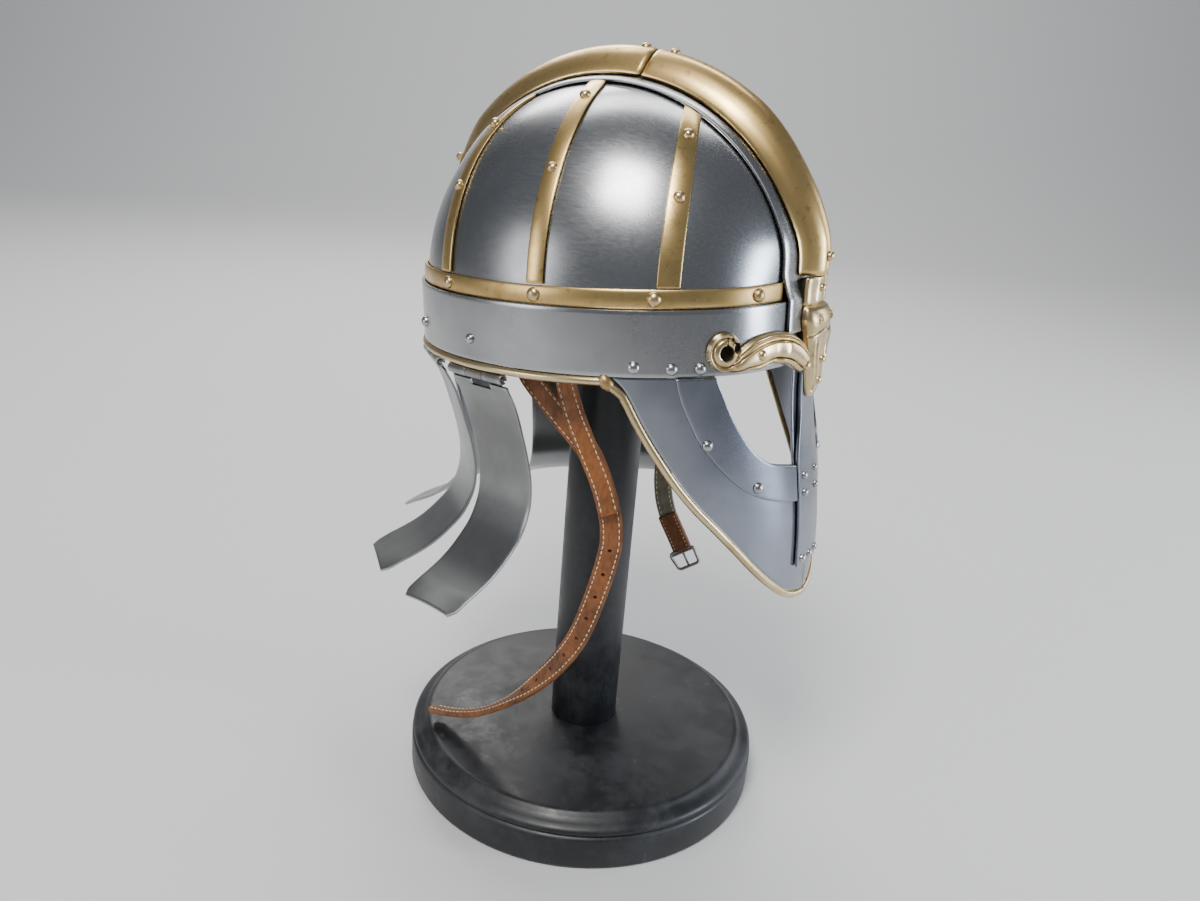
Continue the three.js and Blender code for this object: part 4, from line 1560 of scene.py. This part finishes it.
    def brazing(self, side: Side, corner: float) -> None:
        """The lump of brazing where the edging turns down."""
        clear_selection()
        bpy.ops.mesh.primitive_uv_sphere_add(segments=24, ring_count=14, radius=1)
        piece = bpy.context.object
        piece.name = f"edging_corner_{side.word}"
        point = self.on_wall(side, corner + 2.9, -3.0, -0.8)
        normal = FORM.wall_normal(side.value * corner / self.girth)
        rng = random.Random(5)
        for vertex in piece.data.vertices:
            vertex.co *= rng.uniform(0.94, 1.04)
        lean = Matrix.Rotation(math.radians(-40 * side.value), 4, "Z")
        piece.data.transform(seat_matrix(point, normal) @ lean @ Matrix.Diagonal((5.0, 3.3, 3.1, 1)))
        settle(piece, TO_ROW)
        smooth(piece, 80)
        dress(piece, self.finishes.stained, Slot.BRASS)

    def rim(self) -> None:
        """The brass tube round the rim, from one guard's corner round the back to the other's."""
        corner = self.flat(self.outer)[0][0] / self.girth + 0.045
        end = 2 * math.pi - corner
        count = 150
        points = [FORM.wall(mix(corner, end, i / count), -2.5, -1.0) for i in range(count + 1)]
        piece = tube_along("rim_edging_tube", points, self.tube, 5)
        settle(piece, TO_ROW)
        smooth(piece, 60)
        dress(piece, self.finishes.cast_brass, Slot.BRASS, replaced=["rim_edging"])

    def rivets(self) -> None:
        """Iron rivets on the eye rings and the nasal strap."""
        ring = [face_seat(sign * x, z, 1.9) for sign in (-1, 1) for x, z in ((65.3, -34.4), (42.3, -60.3))]
        nose = [face_seat(x, z, 2.55) for x, z in (
            (-9.4, -108.6), (0, -108.9), (9.4, -108.6), (-7.7, -61.5), (7.7, -61.5), (-7.7, -71), (7.7, -71),
        )]
        big = RivetTool(3.1, 2.4, 13).set_at("face_rivets", ring)
        small = RivetTool(2.2, 1.9, 17).set_at("nose_rivets", nose)
        dress(big, self.finishes.rivet_steel, Slot.STEEL)
        dress(small, self.finishes.rivet_steel, Slot.STEEL, replaced=["chin_rivet"])


# ---------------------------------------------------------------------------
# Hinged neck plates
# ---------------------------------------------------------------------------


@dataclass
class NeckPlate:
    """One hinged plate with its two rolled knuckles, the fixed leaf and the pin."""

    finishes: Finishes
    number: int
    angle_deg: float
    half: float = 21.75
    sheet: float = 1.6
    drop: float = -7.8
    inset: float = 3.4
    knuckle: float = 2.7
    pin_radius: float = 1.15
    bore_radius: float = 1.45
    rolls: tuple[Pair, ...] = ((-21.7, -7.3), (7.3, 21.7))
    profile: tuple[Pair, ...] = (
        (-2.4, -4.6), (-3.2, -7), (-6.6, -14), (-9.4, -22), (-11.5, -30), (-15.5, -47), (-17.3, -62),
        (-15.7, -76), (-9.5, -89), (-1, -98), (10, -106.5), (23, -113), (40, -119.5),
    )

    def hinge_frame(self) -> Matrix:
        """Matrix from (along the hinge, outwards, up) to helmet millimetres."""
        t = math.radians(self.angle_deg)
        out = Vector((-math.cos(t) / FORM.band_width, math.sin(t) / FORM.band_length, 0)).normalized()
        along = Vector((out.y, -out.x, 0))
        wall = Vector((-FORM.band_width * math.cos(t), FORM.band_length * math.sin(t), self.drop))
        turn = Matrix((along, out, Vector((0, 0, 1)))).transposed().to_4x4()
        return Matrix.Translation(wall - out * self.inset) @ turn

    def build(self) -> None:
        """Builds and dresses the plate, its leaf and its pin."""
        frame = TO_ROW @ self.hinge_frame()
        line = Line([(n, z, 0.0) for n, z in self.profile], 10)
        rng = random.Random(self.number * 31)
        bend = rng.uniform(-0.4, 0.4)

        def place(u: float, v: float) -> Vector:
            """Point of the plate's outer face, cut round the fixed knuckle at the top."""
            n, z = line.at(v)[:2]
            na, za = line.at(v - 0.01)[:2]
            nb, zb = line.at(v + 0.01)[:2]
            length = math.hypot(nb - na, zb - za)
            off = self.sheet / 2
            w = 2 * u - 1
            half = self.half * (1 - 0.13 * smoothstep(0.955, 1.0, v) ** 2)
            z += -1.2 * w * w * smoothstep(0.9, 1, v) + bend * w * smoothstep(0.4, 1, v)
            return Vector((w * half, n - (zb - za) / length * off, z + (nb - na) / length * off))

        plate = spread_grid("plate", 16, 90, place, Vector((0, -60, -60)))
        self.notch(plate)
        thicken(plate, self.sheet)
        ease_edges(plate, 0.35)
        rolls = [self.roll(start, end) for start, end in self.rolls]
        piece = join_all(f"neck_plate_{self.number}_iron", [plate, *rolls])
        settle(piece, frame)
        smooth(piece)
        body = f"neck_plate_{self.number}"
        dress(piece, self.finishes.plate_steel, Slot.STEEL, body, [body])
        self.leaf(frame)
        self.pin(frame)

    def notch(self, plate: Piece) -> None:
        """Takes the faces away where the fixed knuckle stands between the rolled ones."""
        take_up(plate)
        bpy.ops.object.mode_set(mode="EDIT")
        bpy.ops.mesh.select_all(action="DESELECT")
        bpy.ops.object.mode_set(mode="OBJECT")
        for face in plate.data.polygons:
            face.select = abs(face.center.x) < 7.6 and face.center.z > -7.4
        bpy.ops.object.mode_set(mode="EDIT")
        bpy.ops.mesh.delete(type="FACE")
        bpy.ops.object.mode_set(mode="OBJECT")

    def barrel(self, start: float, end: float, radius: float, facets: int = 28) -> Piece:
        """A cylinder along the hinge; the callers ease its ends."""
        clear_selection()
        bpy.ops.mesh.primitive_cylinder_add(
            vertices=facets, radius=radius, depth=end - start, location=((start + end) / 2, 0, 0),
            rotation=(0, math.pi / 2, 0),
        )
        piece = bpy.context.object
        settle(piece, Matrix.Identity(4))
        return piece

    def roll(self, start: float, end: float) -> Piece:
        """A sheet end rolled round the pin."""

        def place(u: float, v: float) -> Vector:
            """Point of the roll's outer face, ending against the plate."""
            a = mix(math.radians(205), math.radians(-130), v)
            return Vector((mix(start, end, u), math.cos(a) * self.knuckle, math.sin(a) * self.knuckle))

        piece = spread_grid("roll", 4, 36, place, Vector(((start + end) / 2, 0, 0)))
        thicken(piece, 1.1)
        ease_edges(piece, 0.2, 1)
        return piece

    def leaf(self, frame: Matrix) -> None:
        """The fixed leaf behind the brow band, with its own rolled knuckle."""
        clear_selection()
        bpy.ops.mesh.primitive_cube_add(size=1, location=(0, -1.2, 12.2), scale=(13.8, 1.5, 21.6))
        plate = bpy.context.object
        settle(plate, Matrix.Identity(4))
        ease_edges(plate, 0.4)
        knuckle = self.barrel(-6.9, 6.9, self.knuckle)
        bore = self.barrel(-8, 8, self.bore_radius, 20)
        apply_modifier(knuckle, "BOOLEAN", operation="DIFFERENCE", object=bore, solver="EXACT")
        bpy.data.objects.remove(bore)
        ease_edges(knuckle, 0.2, 1)
        piece = join_all(f"hinge_leaf_{self.number}_iron", [plate, knuckle])
        settle(piece, frame)
        smooth(piece)
        dress(piece, self.finishes.iron, Slot.DARK, replaced=[f"hinge_leaf_{self.number}"])

    def pin(self, frame: Matrix) -> None:
        """The hinge pin with eased ends."""
        pin = self.barrel(self.rolls[0][0], self.rolls[-1][1], self.pin_radius, 20)
        ease_edges(pin, 0.3)
        pin.name = f"hinge_pin_{self.number}_iron"
        settle(pin, frame)
        smooth(pin)
        dress(pin, self.finishes.iron, Slot.DARK, replaced=[f"hinge_pin_{self.number}"])


# ---------------------------------------------------------------------------
# Leather straps
# ---------------------------------------------------------------------------


@dataclass
class ChinStrap:
    """A stitched leather strap along a line of (x, y, z, facing x, y, z), in the stand's frame."""

    finishes: Finishes
    name: str
    node: str
    line: tuple[tuple[float, ...], ...]
    width: float
    thickness: float
    holes: tuple[float, ...] = ()
    stitch: float = 3.3
    finish: Finish | None = None
    hole_radius: float = 1.15
    stitch_row: float = 0.345
    stitch_depth: float = 0.46

    def frame_at(self, path: Line, v: float) -> tuple[Vector, Vector, Vector, Vector]:
        """Centre, across, face and along directions at a share of the strap."""
        values = path.at(v)
        centre = Vector(values[:3])
        along = (Vector(path.at(v + 0.008)[:3]) - Vector(path.at(v - 0.008)[:3])).normalized()
        face = Vector(values[3:6])
        face = (face - along * face.dot(along)).normalized()
        return centre, along.cross(face), face, along

    def build(self) -> None:
        """Builds and dresses the strap and its stitches."""
        path = Line(self.line, 10)
        rows = max(20, int(path.length / 1.6))
        half, deep = self.width / 2, self.thickness / 2
        skin = Line([
            (-1, -0.55, 0), (-0.94, -0.92, 0), (-0.8, -1, 0), (0, -1, 0), (0.8, -1, 0), (0.94, -0.92, 0),
            (1, -0.55, 0), (1, 0.55, 0), (0.94, 0.9, 0), (0.82, 0.97, 0), (0.68, 0.84, 0), (0.52, 1, 0),
            (0, 1.04, 0), (-0.52, 1, 0), (-0.68, 0.84, 0), (-0.82, 0.97, 0), (-0.94, 0.9, 0),
            (-1, 0.55, 0), (-1, -0.55, 0),
        ], 3)
        rng = random.Random(self.name)
        waves = [(rng.uniform(2, 9), rng.uniform(0, 6.28), rng.uniform(0.06, 0.2)) for _ in range(5)]

        def place(u: float, v: float) -> Vector:
            """Point of the strap's skin."""
            centre, across, face, _ = self.frame_at(path, v)
            a, b = skin.at(u)[:2]
            ripple = sum(h * math.sin(k * v * 6.28 + p) for k, p, h in waves) * 0.35
            tip = 1 - 0.35 * smoothstep(0.985, 1.0, v)
            return centre + across * (a * half * tip + ripple * 0.4) + face * (b * deep)

        piece = spread_grid(self.name, 54, rows, place)
        close_ends(piece)
        for share in self.holes:
            centre, across, face, _ = self.frame_at(path, share)
            clear_selection()
            bpy.ops.mesh.primitive_cylinder_add(vertices=16, radius=self.hole_radius, depth=12)
            punch = bpy.context.object
            punch.data.transform(seat_matrix(centre, face))
            apply_modifier(piece, "BOOLEAN", operation="DIFFERENCE", object=punch, solver="EXACT")
            bpy.data.objects.remove(punch)
        settle(piece, STAND_FRAME)
        smooth(piece, 45)
        nodes = [self.node] if self.node else []
        dress(piece, self.finish or self.finishes.leather, Slot.LEATHER, replaced=nodes)
        self.stitches(path)

    def stitches(self, path: Line) -> None:
        """Two rows of thread on both faces, one short capsule a stitch."""
        clear_selection()
        bpy.ops.mesh.primitive_uv_sphere_add(segments=8, ring_count=6, radius=1)
        grain = bpy.context.object
        count = int(path.length / self.stitch)
        shape = Matrix.Diagonal((self.stitch * 0.38, 0.32, 0.36, 1))
        copies = []
        for i in range(1, count):
            v = i / count
            centre, across, face, along = self.frame_at(path, v)
            for sign in (-1, 1):
                for up in (-1, 1):
                    copy = grain.copy()
                    copy.data = grain.data.copy()
                    bpy.context.collection.objects.link(copy)
                    aside = across * (sign * self.width * self.stitch_row)
                    spot = centre + aside + face * (up * (self.thickness * self.stitch_depth))
                    copy.data.transform(seat_matrix(spot, face, along) @ shape)
                    copies.append(copy)
        bpy.data.objects.remove(grain)
        piece = join_all(f"{self.name}_stitches", copies)
        settle(piece, STAND_FRAME)
        smooth(piece, 80)
        dress(piece, self.finishes.thread, Slot.LEATHER)


@dataclass
class ChinStraps:
    """All the leather: the long right strap with its branch, the left strap with its buckle."""

    finishes: Finishes

    def build(self) -> None:
        """Builds the straps and the buckle."""
        ChinStrap(self.finishes, "chin_strap_right_leather", "chin_strap_right", (
            (-80.5, 9, 291, -1, 0, 0), (-80.5, 4, 280, -1, -0.1, 0), (-77.5, -14, 262, -0.95, -0.3, 0),
            (-75, -31, 246, -0.87, -0.48, 0.1), (-75, -41, 230, -0.87, -0.48, 0.1),
            (-75, -47.5, 214, -0.87, -0.48, 0.1), (-75, -49.5, 203, -0.87, -0.48, 0.2),
            (-75, -49.3, 193, -0.87, -0.46, 0.25), (-75, -45, 171.5, -0.85, -0.4, 0.35),
            (-75, -35.5, 138.6, -0.8, -0.3, 0.5), (-75, -24, 116, -0.7, -0.25, 0.7),
            (-74, -10, 96.5, -0.5, -0.2, 0.85), (-73, 7, 77, -0.2, -0.15, 1), (-72, 28, 58.5, 0.05, -0.1, 1),
            (-71, 50, 46.5, 0.25, 0, 1), (-69.5, 72, 39.5, 0.35, 0, 1),
        ), 12, 3.2, tuple(0.36 + 0.047 * i for i in range(9))).build()
        ChinStrap(self.finishes, "chin_strap_branch_leather", "chin_strap_right_front", (
            (-84, -19, 292, -1, 0, 0), (-83.2, -20.5, 281, -1, -0.1, 0), (-81, -26, 264, -0.97, -0.25, 0),
            (-79.2, -34, 247, -0.87, -0.48, 0.1), (-79.1, -43.5, 230.5, -0.87, -0.48, 0.1),
            (-79.3, -49.6, 216, -0.87, -0.48, 0.1),
        ), 11, 2.8).build()
        ChinStrap(self.finishes, "chin_strap_left_leather", "chin_strap_left", (
            (82, -19, 291, 1, 0, 0), (82, -17.5, 279, 1, 0, 0), (78, -13, 250, 1, 0, 0),
            (73, -9.5, 222, 1, 0, 0), (70, -8, 200, 1, 0, 0), (67.5, -8.5, 183, 0.97, 0.2, 0),
            (66, -12, 166, 0.95, 0.3, 0), (66, -19, 150, 0.92, 0.4, 0), (66, -25, 141, 0.92, 0.4, 0),
        ), 12, 2.6, finish=self.finishes.flesh_side).build()
        ChinStrap(self.finishes, "chin_strap_fold_leather", "", (
            (66, -15.5, 155.5, 0.93, 0.37, 0), (66, -19, 150, 0.92, 0.4, 0), (66, -25, 141, 0.92, 0.4, 0),
            (66, -29.6, 133.6, 0.92, 0.4, 0),
        ), 12.6, 5.6, stitch=2.6).build()
        self.buckle()

    def buckle(self) -> None:
        """The buckle's rounded wire frame, its bar inside the leather fold and its tongue."""
        frame = (
            Matrix.Translation((66, -32, 128.6))
            @ Matrix.Rotation(math.radians(24), 4, "Z")
            @ Matrix.Rotation(math.radians(-32), 4, "X")
        )
        corners = []
        for cy, cz, start in ((6.0, 3.6, 0), (-6.0, 3.6, 90), (-5.2, -4.6, 180), (5.2, -4.6, 270)):
            for k in range(7):
                a = math.radians(start + 15 * k)
                corners.append(Vector((0, cy + 2.4 * math.cos(a), cz + 2.4 * math.sin(a))))
        loop = tube_along("loop", corners, 1.05, 4, True)
        bar = tube_along("bar", [Vector((0, -7.6, 4.2)), Vector((0, 7.6, 4.2))], 0.9, 4)
        bend = [Vector((1.6, 0, 4.6)), Vector((2.4, 0.2, 1)), Vector((1.7, 0.5, -6.6))]
        tongue = tube_along("tongue", bend, 0.8, 4)
        piece = join_all("chin_strap_buckle_frame", [loop, bar, tongue])
        settle(piece, STAND_FRAME @ frame)
        smooth(piece, 60)
        dress(piece, self.finishes.iron, Slot.DARK, replaced=["chin_strap_buckle"])


# ---------------------------------------------------------------------------
# Stand
# ---------------------------------------------------------------------------


@dataclass
class Stand:
    """The turned black stand: plinth, post and the knob inside the bowl."""

    finishes: Finishes
    plinth: tuple[Pair, ...] = (
        (110.9, 0), (112.2, 0.9), (112.6, 2.2), (112.6, 10), (112.6, 19.6), (112.2, 20.6), (111.2, 21.3),
        (110.7, 21.7), (110.9, 22.2), (111.6, 22.9), (112.0, 24.2), (111.4, 25.6), (109.8, 26.9),
        (107.6, 27.9), (105.6, 28.9), (104.0, 30.2), (102.8, 31.5), (101.6, 32.3), (99.5, 32.5),
        (70, 32.5), (30, 32.5),
    )
    knob: tuple[Pair, ...] = (
        (28, 0), (30.5, 0.4), (36, 3), (40.5, 6.6), (43.6, 11), (44.9, 16), (44.4, 21.5), (42.2, 26.5),
        (38.6, 31), (33, 35), (26, 38), (17, 40.2), (8, 41.4), (2, 41.8),
    )

    def build(self) -> None:
        """Builds and dresses the stand."""
        low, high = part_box("stand_knob")
        base = low.z / MM
        self.turned("stand_base_turned", self.plinth, 0.0, "stand_base")
        post_low, post_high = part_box("stand_post")
        top = post_high.z / MM
        foot = post_low.z / MM
        post = ((21.2, foot), (21.4, foot + 0.6), (21.4, 150), (21.4, 260), (21.4, top - 0.6), (21.2, top))
        self.turned("stand_post_turned", post, 0.0, "stand_post")
        self.turned("stand_knob_turned", self.knob, base, "stand_knob")
        LOG.info("knob from %.1f to %.1f mm", base, high.z / MM)

    def turned(self, name: str, profile: Sequence[Pair], lift: float, node: str) -> None:
        """One turned piece.

        Args:
            name: Name of the piece.
            profile: Radii and heights.
            lift: Height added to the profile.
            node: CAD node it replaces.
        """
        piece = turn_up(name, [(r, z + lift) for r, z in profile], 160)
        settle(piece, STAND_FRAME)
        smooth(piece, 50)
        dress(piece, self.finishes.wood, Slot.WOOD, replaced=[node])


# ---------------------------------------------------------------------------
# Studio
# ---------------------------------------------------------------------------


@dataclass
class Studio:
    """Pale floor, soft lights and the camera."""

    camera_at: Triple = (-0.4973, -0.2745, 0.4281)
    yaw_deg: float = 28.9
    aside_deg: float = -0.30
    down_deg: float = 20.47
    roll_deg: float = 4.71
    lens: float = 30.0
    flat: float = 2.2
    sweep: float = 1.6

    def build(self) -> None:
        """Builds the studio."""
        self.camera()
        self.floor()
        self.lights()

    def level_directions(self) -> tuple[Vector, Vector]:
        """Level directions to the right across the view and ahead along it."""
        yaw = math.radians(self.yaw_deg)
        return Vector((math.sin(yaw), -math.cos(yaw), 0)), Vector((math.cos(yaw), math.sin(yaw), 0))

    def camera(self) -> None:
        """Places the camera and makes it the scene's."""
        data = bpy.data.cameras.new("camera")
        data.lens = self.lens
        data.sensor_width = 36.0
        data.sensor_fit = "HORIZONTAL"
        data.clip_start = 0.01
        data.clip_end = 50
        obj = bpy.data.objects.new("camera", data)
        bpy.context.scene.collection.objects.link(obj)
        psi, theta, rho = (math.radians(v) for v in (self.aside_deg, self.down_deg, self.roll_deg))
        across, ahead = self.level_directions()
        up = Vector((0, 0, 1))
        forward = (
            across * math.sin(psi) * math.cos(theta)
            + ahead * math.cos(psi) * math.cos(theta)
            - up * math.sin(theta)
        )
        right0 = forward.cross(up).normalized()
        up0 = right0.cross(forward)
        right = right0 * math.cos(rho) + up0 * math.sin(rho)
        top = up0 * math.cos(rho) - right0 * math.sin(rho)
        turn = Matrix((right, top, -forward)).transposed().to_4x4()
        obj.matrix_world = Matrix.Translation(self.camera_at) @ turn
        bpy.context.scene.camera = obj

    def floor(self) -> None:
        """A wide pale floor that curves up far behind the object."""
        across, ahead = self.level_directions()

        def place(u: float, v: float) -> Vector:
            """Point of the sweep: flat, then a quarter round, then upright."""
            run = mix(-4.0, 8.0, v)
            turn = max(0.0, min(math.pi / 2, (run - self.flat) / self.sweep))
            y = min(run, self.flat) + self.sweep * math.sin(turn)
            z = self.sweep * (1 - math.cos(turn)) + max(0.0, run - self.flat - self.sweep * math.pi / 2)
            return across * mix(-7, 7, u) + ahead * y + Vector((0, 0, z))

        floor = spread_grid("floor", 8, 90, place)
        smooth(floor, 60)
        n = Nodes("pale_floor")
        n.shader.inputs["Base Color"].default_value = (0.60, 0.60, 0.60, 1)
        n.shader.inputs["Roughness"].default_value = 0.85
        floor.data.materials.append(n.material)

    def lights(self) -> None:
        """Large soft lights and a dim grey world."""
        world = bpy.data.worlds.new("studio")
        bpy.context.scene.world = world
        world.use_nodes = True
        background = world.node_tree.nodes["Background"]
        background.inputs["Color"].default_value = (0.82, 0.88, 0.97, 1)
        background.inputs["Strength"].default_value = 0.22
        self.softbox("key", (-1.0, -0.15, 1.75), (0, 0, 0.33), (0.55, 0.7), 34, (1.0, 0.985, 0.96))
        self.softbox("front", (0.38, -1.5, 0.45), (0, 0, 0.28), (0.45, 0.7), 17, (0.80, 0.89, 1.0))
        self.softbox("rim", (1.1, 1.2, 1.5), (0, 0, 0.3), (0.9, 0.6), 20, (1.0, 0.98, 0.95))
        self.softbox("side", (1.35, -1.0, 0.55), (0, -0.08, 0.3), (0.4, 0.9), 6, (0.93, 0.96, 1.0))
        self.softbox("low", (-1.3, 0.8, 0.5), (0, 0, 0.2), (0.6, 0.6), 5, (1.0, 1.0, 1.0))
        self.softbox("sweep", (1.2, 0.7, 2.6), (2.4, 1.3, 0.4), (2.0, 1.5), 60, (1.0, 1.0, 1.0))

    def softbox(self, name: str, at: Triple, aim: Triple, size: Pair, power: float, colour: Colour) -> None:
        """One area light.

        Args:
            name: Name of the light.
            at: Its place in metres.
            aim: The point it faces.
            size: Width and height in metres.
            power: Power in watts.
            colour: Its colour.
        """
        data = bpy.data.lights.new(name, "AREA")
        data.shape = "RECTANGLE"
        data.size, data.size_y = size
        data.energy = power
        data.color = colour
        obj = bpy.data.objects.new(name, data)
        obj.location = at
        obj.rotation_euler = (Vector(aim) - Vector(at)).to_track_quat("-Z", "Y").to_euler()
        bpy.context.scene.collection.objects.link(obj)


def main() -> None:
    """Builds every sub-assembly in order."""
    logging.basicConfig(level=logging.INFO, format="%(name)s %(message)s")
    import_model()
    finishes = Finishes()
    assemblies: list[object] = [
        Stand(finishes),
        Bowl(finishes),
        Crest(finishes),
        BeastHead(finishes),
        Eyebrow(finishes, Side.RIGHT),
        Eyebrow(finishes, Side.LEFT),
        FaceGuards(finishes),
        *(NeckPlate(finishes, i + 1, angle) for i, angle in enumerate((16.7, 46.0, 90.0, 134.0, 163.3))),
        ChinStraps(finishes),
        Studio(),
    ]
    for assembly in assemblies:
        LOG.info("building %s", type(assembly).__name__)
        assembly.build()


if __name__ == "__main__":
    main()
